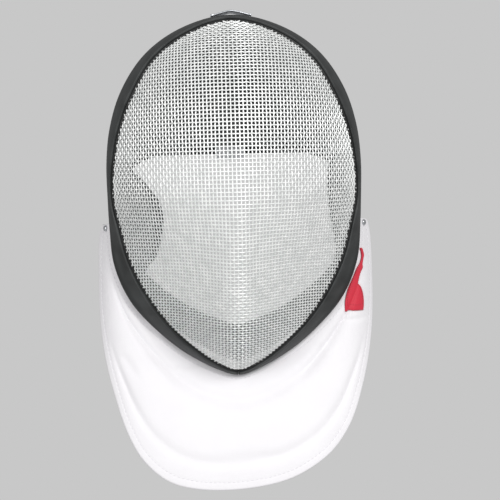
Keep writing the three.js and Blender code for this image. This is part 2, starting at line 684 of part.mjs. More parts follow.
add('face_mesh', faceMesh(), material(0xd9dadb, 0.45, 0.4));
add('crown_mesh', crownMesh(), material(0xd9dadb, 0.45, 0.4));
add('rim_trim', rimTrim(), material(0x464848, 0.5));
add('back_binding', backBinding(), material(0x2c2d2e, 0.8));
add('crown_lining', crownLining(), material(0x34363a, 0.9));
add('chin_pad', chinPad(), material(0x5a5c60, 0.9));
add('ear_flap_left', earFlap(-1, 'left'), material(0x6c6e72, 0.9));
add('ear_flap_right', earFlap(1, 'right'), material(0x6c6e72, 0.9));
add('bib', bib(), material(0xf6f5f7, 0.85));
add('label_patch', labelPatch(), material(0xd7263e, 0.7));
add('back_strap', backStrap(), material(0xb9babd, 0.9));
add('strap_rivet_left', strapRivet(-1), material(0x3a3b3d, 0.4, 0.6));
add('strap_rivet_right', strapRivet(1), material(0x3a3b3d, 0.4, 0.6));
add('bib_stud_left', bibStud(-1), material(0xb4b6b9, 0.35, 0.8));
add('bib_stud_right', bibStud(1), material(0xb4b6b9, 0.35, 0.8));
add('tongue_spring', tongueSpring(), material(0x9fa2a6, 0.35, 0.9));
add('tongue_clip', tongueClip(), material(0xbfc2c6, 0.35, 0.9));
add('tongue_pad', tonguePad(), material(0x2f3134, 0.9));

const model = new THREE.Group();
model.add(mask);

export default model;
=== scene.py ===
# Fencing mask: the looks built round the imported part. Blender 4.5, metres, +Z up, face along -Y.
# Tables and points are in millimetres until place(): x across, depth back from the foremost point
# of the face, height up from the top pad's seat. Left is -X, as a viewer in front sees it.

import math

import bpy
import numpy as np
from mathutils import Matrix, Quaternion, Vector


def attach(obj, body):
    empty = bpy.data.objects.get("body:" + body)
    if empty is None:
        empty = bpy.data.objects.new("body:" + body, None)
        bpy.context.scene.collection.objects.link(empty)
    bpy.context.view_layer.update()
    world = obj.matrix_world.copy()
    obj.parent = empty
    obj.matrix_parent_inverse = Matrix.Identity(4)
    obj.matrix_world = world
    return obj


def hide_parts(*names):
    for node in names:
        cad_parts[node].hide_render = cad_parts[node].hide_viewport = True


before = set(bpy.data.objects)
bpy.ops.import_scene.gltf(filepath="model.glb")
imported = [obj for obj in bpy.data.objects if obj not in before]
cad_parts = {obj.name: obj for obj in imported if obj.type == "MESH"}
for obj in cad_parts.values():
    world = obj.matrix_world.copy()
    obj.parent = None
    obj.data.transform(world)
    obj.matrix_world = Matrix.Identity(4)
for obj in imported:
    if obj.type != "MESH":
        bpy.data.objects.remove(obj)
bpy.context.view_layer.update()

MM = 0.001

# What the solids have too: millimetres and degrees, with a few shares and powers.
HUB_HEIGHT = -130.0
BACK_DEPTH = 236.0
CROWN_FULLNESS = 2.5
SEAT_DEPTH = 140.0
SEAT_HEIGHT = -0.5
MESH_HALF = 1.0
FIT = 0.35
TRIM_FIT = 0.6
TRIM_THICK = 2.0
TRIM_BACK = 9.0
TRIM_BACK_LOW = 4.5
BINDING_LEG = 6.0
BINDING_FIT = 1.15
TAPE = 1.2
LINING_THICK = 5.0
LINING_START = 5.0
LINING_REACH = 66.0
LINING_BACKSET = 8.0
CHIN_PAD_LOW = 0.94
TONGUE_BOW = 1.2
BIB_THICK = 3.0
BIB_GAP = 0.9
BIB_LEAN = -14.0
BIB_LEAN_WIDTH = 0.18
BIB_SAG = 7.0
BIB_TOP_ANGLE = 102.0
CROWN_END_ANGLE = 114.0
STRAP_WIDTH = 20.0
STRAP_HEIGHT = -86.0
STRAP_THICK = 1.6
STRAP_REACH = 83.0
STRAP_HUB_DEPTH = 105.0
STRAP_OVER_BINDING = (62.0, 74.0)
STRAP_OVER_TONGUE = (9.0, 20.0)
RIVET_RADIUS = 4.0
RIVET_INSET = 4.0
STUD_RADIUS = 2.6
STUD_WAY = 0.975
STUD_SHARE = 0.4
TONGUE_THICK = 1.2
TONGUE_PAD_ANGLE = 22.0
TONGUE_PAD_HEIGHT = 52.0
TONGUE_PAD_THICK = 9.0
CLIP_ANGLE = 6.0
CLIP_FRONT = 2.0
CLIP_BACK = 17.0
CLIP_PEAK = 2.4
CLIP_THICK = 1.2
LABEL_THICK = 0.8
LABEL_GAP = 0.75
FLAP_THICK = 4.0
FLAP_SEAM = 9.0
FLAP_BACKSET = 34.0
FLAP_INSET = 0.4
FLAP_CURL = 1.4
HEAD_CENTRE = np.array([0.0, 130.0, -120.0])

# What only the render has: millimetres, with a few counts and shares.
WIRE_PITCH = 3.24
WIRE_RADIUS = 0.58
WIRE_SIDES = 6
WIRE_BEND = 0.94
FACE_WIRE_END = 4.0
TRIM_SHORT = 1.7
TRIM_CROWN = 0.45
LIP_WIDTH = 2.1
LIP_TUCK = 0.8
LIP_LOW = 0.7
LIP_RISE = 0.9
BEAD_RADIUS = 0.9
HEM = 7.0
SEAM_INSET = 6.0
LABEL_HEM = -226.6
FLAP_TAPE_SHARES = (0.83, 1.03)
FLAP_TAPE_LIFT = 0.35
LINING_CHANNELS = 7
TAPE_STITCH_INSET = 1.4
LOWER_TAPE_LIFT = 0.15
STRAP_RIBS = 10
STRAP_RIB_RISE = 0.12
STRAP_STITCH_INSETS = (1.2, 9.0)
RIVET_HEIGHT = 1.5
STUD_HEIGHT = 1.2
CLIP_TAB_RISE = 0.7

# The depth at which the crown's net starts, and what brings the two gap functions near millimetres.
CROWN_SECTION_DEPTH = 140.0
GAP_SCALE = 60.0


def columns(names, rows):
    """A table as a dictionary of its named columns."""
    return {n: np.array([r[i] for r in rows], float) for i, n in enumerate(names)}


RIM = columns(("angle", "radius", "depth", "swell", "roll", "trim", "edge"), [
    (0, 143, 78, 2.5, 0.65, 12, 0.261), (15, 139.8, 79, 2.6, 0.68, 16.5, 0.275),
    (30, 133.6, 82, 2.7, 0.72, 19, 0.322), (45, 123.8, 87, 2.7, 0.78, 21, 0.425),
    (60, 113.6, 91.5, 2.6, 0.78, 18, 0.65), (75, 105.8, 96, 2.6, 0.7, 15, 0.885),
    (90, 102.2, 99, 2.6, 0.66, 12, 0.94), (105, 105, 101, 2.4, 0.9, 17, 0.962),
    (120, 113.8, 103, 2.05, 1.2, 20.5, 0.985), (135, 122.2, 105, 1.8, 1.3, 20.5, 0.99),
    (150, 129.3, 108.5, 1.7, 1.05, 17, 0.99), (165, 139.4, 112, 1.7, 0.85, 14, 0.99),
    (173, 145.5, 112, 1.75, 0.8, 10, 0.99), (180, 150, 112, 1.75, 0.8, 6, 0.99),
])
RIDGE = columns(("height", "slope", "crest"), [
    (-290, 0.62, 2), (-200, 0.56, 3), (-130, 0.43, 6), (-50, 0.36, 10), (16, 0.2, 14),
])
# The free edge of the bib. Its lower corners are up to 4 mm fuller than the solid's, and the second
# crease is half a millimetre shallower.
BIB = columns(("angle", "x", "depth", "height"), [
    (102, 111.5, 122, -155), (106, 114.5, 125, -164), (112, 116, 128, -184), (124, 116.5, 129, -226),
    (136, 113.5, 125, -262), (148, 105.5, 117, -298), (158, 93.5, 108, -331), (165, 76, 101, -355),
    (172, 46, 96, -373), (180, 0, 94, -379),
])
CREASES = columns(("share", "drop", "width", "reach"), [
    (0.25, 2.6, 0.055, 0.8), (0.77, 1.5, 0.05, 0.6),
])
LABEL = columns(("height", "left", "right"), [
    (-231.5, 90.8, 106.5), (-225, 91.5, 107), (-218, 92.8, 106.5), (-212, 94.5, 105),
    (-206, 97, 102.5), (-200, 99.5, 104), (-195, 101.5, 106), (-191.5, 103.6, 105.8),
    (-188, 104.8, 106.2), (-184, 105.2, 106.8), (-178, 103.8, 105.4),
])
EAR_FLAPS = columns(("height", "left", "right"), [
    (-196, 12, 4), (-182, 25, 5), (-165, 31, 7.5), (-150, 33, 11),
    (-135, 30, 13), (-122, 21, 13.5), (-108, 8, 13), (-96, 3, 9),
])
CHIN_PAD = columns(("angle", "edge"), [
    (122, 0.88), (135, 0.83), (150, 0.78), (165, 0.74), (180, 0.715),
])

# Short wrinkles in the bib, each from one point to another by x and height, with its half width and
# how far the cloth sinks in.
WRINKLES = columns(("x1", "height1", "x2", "height2", "width", "drop"), [
    (-54, -277, -30, -274, 2.6, 0.9), (8, -285, 64, -262, 5.5, 1.3), (86, -240, 110, -238, 2.2, 0.8),
    (-84, -234, -66, -252, 3.0, 0.9), (-20, -352, 30, -350, 5.0, 0.9), (50, -293, 91, -243, 5.0, 1.6),
    (-98, -262, -84, -286, 4.0, 0.8),
])


# Shapes shared with the solids

def along(table, key, column, at, flat_ends=True):
    """Reads a column between its rows along a smooth curve."""
    keys, values = table[key], table[column]
    slopes = np.zeros_like(values)
    slopes[1:-1] = (values[2:] - values[:-2]) / (keys[2:] - keys[:-2])
    if not flat_ends:
        slopes[0] = (values[1] - values[0]) / (keys[1] - keys[0])
        slopes[-1] = (values[-1] - values[-2]) / (keys[-1] - keys[-2])
    i = np.clip(np.searchsorted(keys, at, side="right") - 1, 0, len(keys) - 2)
    span = keys[i + 1] - keys[i]
    s = np.clip((at - keys[i]) / span, 0, 1)
    ease = s * s * (3 - 2 * s)
    bend = s * (1 - s) * span * ((1 - s) * slopes[i] - s * slopes[i + 1])
    return values[i] + (values[i + 1] - values[i]) * ease + bend


def rim(angle, column):
    return along(RIM, "angle", column, np.abs(angle))


def smoothstep(x, low, high):
    t = np.clip((x - low) / (high - low), 0, 1)
    return t * t * (3 - 2 * t)


def sin_deg(angle):
    return np.sin(np.radians(angle))


def cos_deg(angle):
    return np.cos(np.radians(angle))


def bell(x, width):
    """1 at zero, and falling off to both sides over about a width."""
    return np.exp(-(x / width) ** 2)


def round_over(x):
    """A quarter circle's rise: 0 at 0, and 1 from 1 on."""
    return np.sqrt(1 - (1 - np.clip(x, 0, 1)) ** 2)


def ridge_fall(x, height):
    """How much deeper the face mesh lies at x because it falls away from the ridge."""
    crest = along(RIDGE, "height", "crest", height)
    return along(RIDGE, "height", "slope", height) * (np.hypot(x, crest) - crest)


def bowl_depth(angle):
    radius = rim(angle, "radius")
    x, height = radius * sin_deg(angle), HUB_HEIGHT + radius * cos_deg(angle)
    return rim(angle, "depth") - ridge_fall(x, height)


def stack(x, depth, height):
    return np.stack(np.broadcast_arrays(x, depth, height), -1).astype(float)


def face_point(angle, share):
    """A point of the face mesh: share 0 is the hub and 1 the rim."""
    reach = rim(angle, "radius") * share
    x = reach * sin_deg(angle)
    height = HUB_HEIGHT + reach * cos_deg(angle)
    rise = 1 - np.power(np.clip(1 - np.power(share, rim(angle, "swell")), 0, 1), rim(angle, "roll"))
    return stack(x, bowl_depth(angle) * rise + ridge_fall(x, height), height)


def signed_power(x, power):
    return np.sign(x) * np.power(np.abs(x), power)


def crown_point(angle, turn, inset=0.0):
    """A point of the crown: turn 0 is the rim and 90 the middle of the back; inset moves it inwards."""
    depth = rim(angle, "depth")
    share = signed_power(cos_deg(turn), 2 / CROWN_FULLNESS)
    back = signed_power(sin_deg(turn), 2 / CROWN_FULLNESS)
    reach = (rim(angle, "radius") - inset) * share
    return stack(
        reach * sin_deg(angle),
        depth + (BACK_DEPTH - inset - depth) * back,
        HUB_HEIGHT + reach * cos_deg(angle),
    )


def turn_at(angle, distance):
    """The turn at which the crown has come a given way back from the rim."""
    full = BACK_DEPTH - rim(angle, "depth")
    return np.degrees(np.arcsin(np.power(distance / full, CROWN_FULLNESS / 2)))


def crown_end(angle):
    """The turn at which the crown mesh stops."""
    return np.degrees(np.arccos(np.power(rim(angle, "edge"), CROWN_FULLNESS / 2)))


def crown_edge(angle):
    return crown_point(angle, crown_end(angle))


def crown_inside(angles, distance):
    """For each angle, the turn that is a given way from the nearest part of the crown's back edge."""
    edge = crown_edge(np.arange(-110.0, 111.0, 1.0))
    found = []
    for angle in np.ravel(angles):
        turns = np.arange(crown_end(angle), 0, -0.25)
        clearance = np.linalg.norm(crown_point(angle, turns)[:, None] - edge[None], axis=-1).min(1)
        found.append(turns[np.argmax(clearance >= distance)])
    return np.array(found).reshape(np.shape(angles))


def crown_at(x, height, inset):
    """The crown at a given x and height, a given way in from the middle of the wire."""
    angle = np.degrees(np.arctan2(x, height - HUB_HEIGHT))
    share = np.minimum(np.hypot(x, height - HUB_HEIGHT) / (rim(angle, "radius") - inset), 1)
    back = np.power(1 - np.power(share, CROWN_FULLNESS), 1 / CROWN_FULLNESS)
    depth = rim(angle, "depth")
    return stack(x, depth + (BACK_DEPTH - inset - depth) * back, height)


def share_inside(angle, distance):
    """The share of the rim's radius that lies a given way in from the rim along the face mesh."""
    shares = np.linspace(1, 0.6, 161)
    points = face_point(np.asarray(angle)[..., None], shares)
    away = np.linalg.norm(points - points[..., :1, :], axis=-1)
    k = np.maximum(np.argmax(away >= np.asarray(distance)[..., None], axis=-1), 1)
    near, far = (np.take_along_axis(away, i[..., None], -1)[..., 0] for i in (k - 1, k))
    return shares[k - 1] + (shares[k] - shares[k - 1]) * (distance - near) / (far - near)


def bib_point(way, share):
    """A point of the bib: way runs from -1 to 1 between the ears, share from trim to free edge."""
    angle = 180 - np.abs(way) * (180 - BIB_TOP_ANGLE)
    radius = rim(angle, "radius") + MESH_HALF + FIT + BIB_THICK / 2
    top = stack(
        radius * sin_deg(angle),
        rim(angle, "depth") + TRIM_BACK_LOW + BIB_THICK / 2 + BIB_GAP,
        HUB_HEIGHT + radius * cos_deg(angle),
    )
    edge = stack(*(along(BIB, "angle", c, angle, c != "x") for c in ("x", "depth", "height")))
    p = top + (edge - top) * np.asarray(share)[..., None]
    p[..., 1] -= BIB_SAG * np.sin(share * np.pi) * (1 - way * way)
    for at, drop, width, reach in zip(*(CREASES[c] for c in ("share", "drop", "width", "reach"))):
        fade = 1 - smoothstep(np.abs(way), reach * 0.6, reach)
        p[..., 1] += drop * bell(share - at, width) * fade
    lean = BIB_LEAN * share * share * bell(way, BIB_LEAN_WIDTH)
    p[..., 0] = p[..., 0] * np.where(way < 0, -1, 1) + lean
    return p


def bib_at(x, height):
    """The bib's way and share at a given x and height on the +X side, found by a few corrections."""
    step = 1e-3
    way, share = np.full(np.shape(x), 0.75), np.full(np.shape(x), 0.3)
    for _ in range(12):
        p = bib_point(way, share)
        across = (bib_point(way + step, share) - p) / step
        down = (bib_point(way, share + step) - p) / step
        area = across[..., 0] * down[..., 2] - across[..., 2] * down[..., 0]
        off_x, off_height = x - p[..., 0], height - p[..., 2]
        way = way + (off_x * down[..., 2] - off_height * down[..., 0]) / area
        share = share + (across[..., 0] * off_height - across[..., 2] * off_x) / area
    return way, share


def wrinkled_bib(way, share):
    """The bib with its short wrinkles."""
    p = bib_point(way, share)
    for x1, height1, x2, height2, width, drop in zip(*WRINKLES.values()):
        run = np.array([x2 - x1, height2 - height1])
        off = np.stack([p[..., 0] - x1, p[..., 2] - height1], -1)
        t = (off @ run) / (run @ run)
        aside = np.linalg.norm(off - np.clip(t, 0, 1)[..., None] * run, axis=-1)
        ends = smoothstep(t, -0.15, 0.3) * (1 - smoothstep(t, 0.7, 1.15))
        p[..., 1] += drop * bell(aside, width) * ends
    return p


def crown_on_bearing(bearing, height, inset):
    """A point of the crown at a given height, on a bearing from straight back."""
    across, back = sin_deg(bearing), cos_deg(bearing)
    near, far = np.zeros(np.shape(bearing)), np.full(np.shape(bearing), BACK_DEPTH)
    for _ in range(40):
        middle = (near + far) / 2
        outside = crown_at(across * middle, height, inset)[..., 1] <= STRAP_HUB_DEPTH + back * middle
        near, far = np.where(outside, near, middle), np.where(outside, middle, far)
    return stack(across * near, STRAP_HUB_DEPTH + back * near, height)


def strap_offset(bearing):
    """How far the elastic strap stands off the crown, over the binding and then over the tongue."""
    away = np.abs(bearing)
    flat = MESH_HALF + FIT + STRAP_THICK / 2
    over_binding = (BINDING_FIT + TAPE) * (1 - smoothstep(away, *STRAP_OVER_BINDING))
    return flat + over_binding + (TONGUE_THICK + FIT * 3) * (1 - smoothstep(away, *STRAP_OVER_TONGUE))


def place(points):
    """Table millimetres to metres in the part's own frame."""
    p = np.asarray(points, float)
    return (p - np.array([0.0, SEAT_DEPTH, SEAT_HEIGHT])) * MM


# Materials

def colour(code):
    """An sRGB hex colour as the linear one that Blender works in."""
    parts = [int(code[i:i + 2], 16) / 255 for i in (1, 3, 5)]
    return (*(c / 12.92 if c <= 0.04045 else ((c + 0.055) / 1.055) ** 2.4 for c in parts), 1.0)


def new_material(name, base, roughness, metallic=0.0, **settings):
    """A material with its Principled shader; settings are that shader's own sockets."""
    material = bpy.data.materials.new(name)
    material.use_nodes = True
    shader = material.node_tree.nodes["Principled BSDF"]
    shader.inputs["Base Color"].default_value = colour(base)
    shader.inputs["Roughness"].default_value = roughness
    shader.inputs["Metallic"].default_value = metallic
    for socket, value in settings.items():
        shader.inputs[socket.replace("_", " ")].default_value = value
    material.diffuse_color = colour(base)
    return material


def add(material, kind, output, inputs, **properties):
    """Adds a node and gives one of its outputs. An input is linked from an output or set to a value."""
    node = material.node_tree.nodes.new("ShaderNode" + kind)
    for name, value in properties.items():
        setattr(node, name, value)
    for socket, source in inputs.items():
        if isinstance(source, bpy.types.NodeSocket):
            material.node_tree.links.new(source, node.inputs[socket])
        else:
            node.inputs[socket].default_value = source
    return node.outputs[output]


def link(material, source, socket):
    shader = material.node_tree.nodes["Principled BSDF"]
    material.node_tree.links.new(source, shader.inputs[socket])


def where(material, kind="Object", scale=(1.0, 1.0, 1.0)):
    """Coordinates times a scale: Object is metres in the part, UV is millimetres along the piece."""
    source = add(material, "TexCoord", kind, {})
    return add(material, "Mapping", "Vector", {"Vector": source, "Scale": scale})


def grains(size_mm):
    """How many grains of a size go into the metre that Object coordinates count in."""
    return 1 / (size_mm * MM)


def weave(material, pitch_mm):
    """A plain weave: two sets of threads crossing, as one height from 0 to 1."""
    across, down = (
        add(material, "TexWave", "Fac", {
            "Vector": where(material, "UV", (1 / pitch_mm,) * 3),
            "Scale": math.pi / 10, "Distortion": 0.25, "Detail": 1.0,
        }, bands_direction=way, wave_profile="SIN")
        for way in "XY"
    )
    return add(material, "Math", 0, {0: across, 1: down}, operation="MULTIPLY")


def finish(material, shading, first, second, polish, low, high, relief):
    """Links the shader: a colour by one pattern, a roughness by another, and a relief."""
    if shading:
        tones = {0: shading, 6: colour(first), 7: colour(second)}
        link(material, add(material, "Mix", 2, tones, data_type="RGBA"), "Base Color")
    link(material, add(material, "MapRange", "Result", {
        "Value": polish, "From Min": 0.3, "From Max": 0.7, "To Min": low, "To Max": high,
    }), "Roughness")
    link(material, relief, "Normal")
    return material


def cloth_material(name, base, shade, pitch_mm, roughness, relief_mm, sheen):
    """Woven cloth: threads give the relief, and the colour darkens in the hollows between threads as
    painted shade, more deeply in slow patches of uneven tone, as on handled fabric.
    """
    material = new_material(name, base, roughness, Sheen_Weight=sheen, Sheen_Roughness=0.5)
    threads = weave(material, pitch_mm)
    patches = add(material, "TexNoise", "Fac", {
        "Vector": where(material), "Scale": grains(26.3), "Detail": 4.0, "Roughness": 0.55,
    })
    fibres = add(material, "TexNoise", "Fac", {
        "Vector": where(material), "Scale": grains(1.11), "Detail": 2.0,
    })
    # Where the threads lie low the colour goes to the darker shade colour: painted shade in the weave's
    # hollows.
    tone = add(material, "Math", 0, {0: patches, 1: threads}, operation="MULTIPLY")
    shading = add(material, "MapRange", "Result", {
        "Value": tone, "From Min": 0.05, "From Max": 0.45, "To Min": 1.0, "To Max": 0.0,
    })
    lint = add(material, "Bump", "Normal", {"Height": fibres, "Distance": relief_mm * 0.5 * MM})
    relief = add(material, "Bump", "Normal", {
        "Height": threads, "Distance": relief_mm * MM, "Normal": lint,
    })
    return finish(material, shading, base, shade, patches, roughness - 0.06, roughness + 0.06, relief)


def metal_material(name, base, roughness, metallic=1.0, brushed=False):
    """Metal with a slight unevenness in its polish and a fine scratch or drawing mark."""
    material = new_material(name, base, roughness, metallic)
    scale = (grains(1.11), grains(16.7), grains(16.7)) if brushed else (grains(3.33),) * 3
    marks = add(material, "TexNoise", "Fac", {
        "Vector": where(material, scale=scale), "Scale": 1.0, "Detail": 3.0,
    })
    relief = add(material, "Bump", "Normal", {"Height": marks, "Distance": 0.04 * MM})
    return finish(material, None, None, None, marks, roughness - 0.08, roughness + 0.1, relief)


def wire_material(name, base, shade, light):
    """Drawn wire: slow clouds in its zinc, and fine drawing marks in its polish and relief."""
    material = new_material(name, base, 0.38, 0.4, Specular_IOR_Level=0.6)
    clouds = add(material, "TexNoise", "Fac", {
        "Vector": where(material), "Scale": grains(7.14), "Detail": 3.0,
    })
    drawn = add(material, "TexNoise", "Fac", {
        "Vector": where(material), "Scale": grains(0.4), "Detail": 2.0,
    })
    shading = add(material, "MapRange", "Result", {
        "Value": clouds, "From Min": 0.35, "From Max": 0.65,
    })
    relief = add(material, "Bump", "Normal", {"Height": drawn, "Distance": 0.03 * MM})
    return finish(material, shading, shade, light, drawn, 0.34, 0.52, relief)


def rubber_material(name, base, shade, light, roughness, fold=None):
    """Moulded rubber, faintly mottled. A fold attribute darkens it with painted shade where it turns
    over.
    """
    material = new_material(name, base, roughness, Specular_IOR_Level=0.45)
    clouds = add(material, "TexNoise", "Fac", {
        "Vector": where(material), "Scale": grains(16.7), "Detail": 5.0,
    })
    grain = add(material, "TexNoise", "Fac", {
        "Vector": where(material), "Scale": grains(0.714), "Detail": 3.0,
    })
    shading = add(material, "MapRange", "Result", {
        "Value": clouds, "From Min": 0.3, "From Max": 0.7,
    })
    # Where the fold attribute says the trim turns over, the colour goes to the darker tone: painted
    # shade.
    if fold:
        turned = add(material, "MapRange", "Result", {
            "Value": add(material, "Attribute", "Fac", {}, attribute_name=fold),
            "From Min": -0.34, "From Max": -0.04, "To Min": 1.0, "To Max": 0.0,
        })
        shading = add(material, "Math", 0, {0: shading, 1: turned}, operation="MULTIPLY")
    relief = add(material, "Bump", "Normal", {"Height": grain, "Distance": 0.05 * MM})
    return finish(material, shading, shade, light, clouds, roughness - 0.06, roughness + 0.08, relief)


# Mesh making

def new_object(name, data):
    obj = bpy.data.objects.new(name, data)
    bpy.context.scene.collection.objects.link(obj)
    return obj


def values(items, name, size, kind):
    """One attribute of all of a mesh's items, in one flat array."""
    out = np.empty(len(items) * size, kind)
    items.foreach_get(name, out)
    return out


def mesh_object(name, points_mm, faces, material, uv=None):
    mesh = bpy.data.meshes.new(name)
    faces = faces.tolist() if isinstance(faces, np.ndarray) else faces
    mesh.from_pydata(place(points_mm).reshape(-1, 3).tolist(), [], faces)
    mesh.shade_smooth()
    if uv is not None:
        layer = mesh.uv_layers.new(name="cloth")
        index = values(mesh.loops, "vertex_index", 1, np.int32)
        layer.data.foreach_set("uv", np.asarray(uv, np.float32).reshape(-1, 2)[index].ravel())
    mesh.validate()
    mesh.materials.append(material)
    return new_object(name, mesh)


def unit(vectors):
    return vectors / np.maximum(np.linalg.norm(vectors, axis=-1, keepdims=True), 1e-9)


def grid_normals(points):
    """Unit normals of a grid of points, turned away from the head."""
    normals = unit(np.cross(np.gradient(points, axis=0), np.gradient(points, axis=1)))
    if np.sum((points - HEAD_CENTRE) * normals) < 0:
        normals = -normals
    return normals


def run_lengths(points):
    """How far along a line of points each of them lies."""
    return np.concatenate([[0], np.cumsum(np.linalg.norm(np.diff(points, axis=0), axis=1))])


def grid_lengths(points):
    """Lengths along both ways of a grid, in millimetres, for patterns that follow the cloth."""
    across = run_lengths(points[:, points.shape[1] // 2])[:, None]
    down = np.stack([run_lengths(row) for row in points])
    return np.stack(np.broadcast_arrays(across, down), -1)


def signed_volume(mesh):
    """The volume inside a closed mesh: below zero if its faces look inwards."""
    mesh.calc_loop_triangles()
    co = values(mesh.vertices, "co", 3, np.float32).reshape(-1, 3).astype(float)
    tri = values(mesh.loop_triangles, "vertices", 3, np.int32)
    a, b, c = co[tri.reshape(-1, 3)].transpose(1, 0, 2)
    return float(np.sum(np.cross(a, b) * c)) / 6


def closed_mesh(name, points_mm, faces, material, uv=None):
    """A closed mesh with its faces turned outwards."""
    obj = mesh_object(name, points_mm, faces, material, uv)
    if signed_volume(obj.data) < 0:
        obj.data.flip_normals()
    return obj


def both_sides(half):
    """Offsets that lie half a thickness to either side of a sheet."""
    return lambda s, t: -half(s, t), half


def wall(name, point, across, down, low, high, material):
    """A closed wall between two offsets of a sheet. low and high are millimetres, or functions of
    the places (0 to 1) across and down."""
    u, v = np.meshgrid(across, down, indexing="ij")
    points = point(u, v)
    normals = grid_normals(points)
    rows, cols = u.shape
    s, t = np.meshgrid(np.linspace(0, 1, rows), np.linspace(0, 1, cols), indexing="ij")
    offsets = [f(s, t) if callable(f) else np.full(s.shape, float(f)) for f in (low, high)]
    flat = np.concatenate([(points + normals * o[..., None]).reshape(-1, 3) for o in offsets])
    index = np.arange(rows * cols).reshape(rows, cols)
    near = np.stack([index[:-1, :-1], index[1:, :-1], index[1:, 1:], index[:-1, 1:]], -1)
    near = near.reshape(-1, 4)
    border = np.concatenate([index[:, 0], index[-1, 1:], index[-2::-1, -1], index[0, -2:0:-1]])
    after = np.roll(border, -1)
    rim_quads = np.stack([border, after, after + rows * cols, border + rows * cols], -1)
    faces = np.concatenate([near + rows * cols, near[:, ::-1], rim_quads])
    uv = np.tile(grid_lengths(points).reshape(-1, 2), (2, 1))
    return closed_mesh(name, flat, faces, material, uv)


def full_turn(sides):
    return np.linspace(0, 2 * math.pi, sides, endpoint=False)


def ring_faces(rings, sides, first=0):
    """Quads between rings of points that follow each other, numbered from the first."""
    base = first + np.arange(rings - 1)[:, None] * sides
    k = np.arange(sides)[None]
    after = (k + 1) % sides
    quads = np.stack([base + k, base + after, base + after + sides, base + k + sides], -1)
    return quads.reshape(-1, 4)


def tubes(name, paths, radius, sides, material):
    """Many round wires as one mesh. Each path is its points and the sheet's normals at them."""
    rings, faces, count = [], [], 0
    cos, sin = (f(full_turn(sides))[None, :, None] for f in (np.cos, np.sin))
    for points, normals in paths:
        ahead = unit(np.gradient(points, axis=0))
        side = unit(np.cross(ahead, normals))
        up = np.cross(side, ahead)
        ring = points[:, None] + radius * (up[:, None] * cos + side[:, None] * sin)
        rings.append(ring.reshape(-1, 3))
        faces.append(ring_faces(len(points), sides, count))
        count += len(points) * sides
    return mesh_object(name, np.concatenate(rings), np.concatenate(faces), material)


def dress(obj, slot, *nodes):
    """Puts a finished piece on the part: it rides on the body and stands for its nodes."""
    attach(obj, "root")
    if nodes:
        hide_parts(*nodes)
    return obj


# Woven wire: a net of equal pitch laid over a curved surface from two crossing lines, as cloth wire
# settles when it is pressed to shape.

def around_hub(p):
    """The angle of points round the hub, and how far out they lie as a share of the rim's radius."""
    angle = np.degrees(np.arctan2(np.abs(p[..., 0]), p[..., 2] - HUB_HEIGHT))
    return angle, np.hypot(p[..., 0], p[..., 2] - HUB_HEIGHT) / rim(angle, "radius")


def face_gap(p):
    """Zero on the face mesh, of opposite signs on its two sides."""
    angle, share = around_hub(p)
    fall = (p[..., 1] - ridge_fall(p[..., 0], p[..., 2])) / bowl_depth(angle)
    return signed_power(1 - fall, 1 / rim(angle, "roll")) + np.power(share, rim(angle, "swell")) - 1


def crown_gap(p):
    """Zero on the crown mesh, above zero outside it."""
    angle, share = around_hub(p)
    front = rim(angle, "depth")
    back = (p[..., 1] - front) / (BACK_DEPTH - front)
    return np.power(share, CROWN_FULLNESS) + np.power(np.abs(back), CROWN_FULLNESS) - 1


def gradient(gap, p, step=0.02):
    moves = np.eye(3) * step
    return np.stack([(gap(p + move) - gap(p - move)) / (2 * step) for move in moves], -1)


def next_points(gap, a, b, c, pitch):
    """The fourth corners of the net's cells, a pitch from a and from b and on the surface."""
    guess = a + b - c
    for _ in range(2):
        g = gradient(gap, guess)
        guess = guess - g * (gap(guess) / np.maximum(np.sum(g * g, -1), 1e-12))[..., None]
    p = guess.copy()
    for _ in range(6):
        g = gradient(gap, p) * GAP_SCALE
        too_far = [(np.sum((p - q) ** 2, -1) - pitch ** 2) / (2 * pitch) for q in (a, b)]
        off = np.stack([*too_far, gap(p) * GAP_SCALE], -1)
        jac = np.stack([(p - a) / pitch, (p - b) / pitch, g], -2)
        flat = np.abs(np.linalg.det(jac)) < 1e-3
        jac[flat] += np.eye(3)
        step = np.linalg.solve(jac, off[..., None])[..., 0]
        size = np.linalg.norm(step, axis=-1, keepdims=True)
        p = p - step * np.minimum(1, pitch * 0.5 / np.maximum(size, 1e-9))
    lost = ~np.isfinite(p).all(-1) | (np.linalg.norm(p - guess, axis=-1) > pitch * 0.8)
    p[lost] = guess[lost]
    return p


def net(gap, first, second, pitch):
    """A quarter of the net: rows start on the first line and columns on the second."""
    p = np.zeros((len(first), len(second), 3))
    p[:, 0] = first
    p[0, :] = second
    for total in range(2, len(first) + len(second) - 1):
        i = np.arange(max(1, total - len(second) + 1), min(len(first), total))
        j = total - i
        p[i, j] = next_points(gap, p[i - 1, j], p[i, j - 1], p[i - 1, j - 1], pitch)
    return p


def read_line(at, away, line):
    """A line read at given distances; away is how far along it each of its own points lies."""
    return np.stack([np.interp(at, away, line[:, k]) for k in range(3)], -1)


def even_points(curve, pitch, count):
    """Points a pitch apart along a finely sampled curve, run on straight past its end."""
    length = run_lengths(curve)
    at = np.arange(count) * pitch
    past = np.maximum(at - length[-1], 0)
    return read_line(at, length, curve) + past[:, None] * unit(curve[-1] - curve[-8])


def whole_net(gap, sideways, one_way, other_way, pitch):
    """Joins four quarters, the -X half mirrored from the other, as points by (across, along)."""
    upper = net(gap, sideways, one_way, pitch)
    lower = net(gap, sideways, other_way, pitch)
    half = np.concatenate([lower[:, :0:-1], upper], axis=1)
    mirror = half[:0:-1] * np.array([-1.0, 1.0, 1.0])
    return np.concatenate([mirror, half], axis=0)


def wire_runs(points, normals, inside, over, amount):
    """One wire, bent over and under by an amount, as its runs of three or more points inside."""
    bent = points + normals * (over * amount)[:, None]
    turns = np.flatnonzero(np.diff(np.concatenate([[0], inside, [0]])))
    return [(bent[a:b], normals[a:b]) for a, b in turns.reshape(-1, 2) if b - a >= 3]


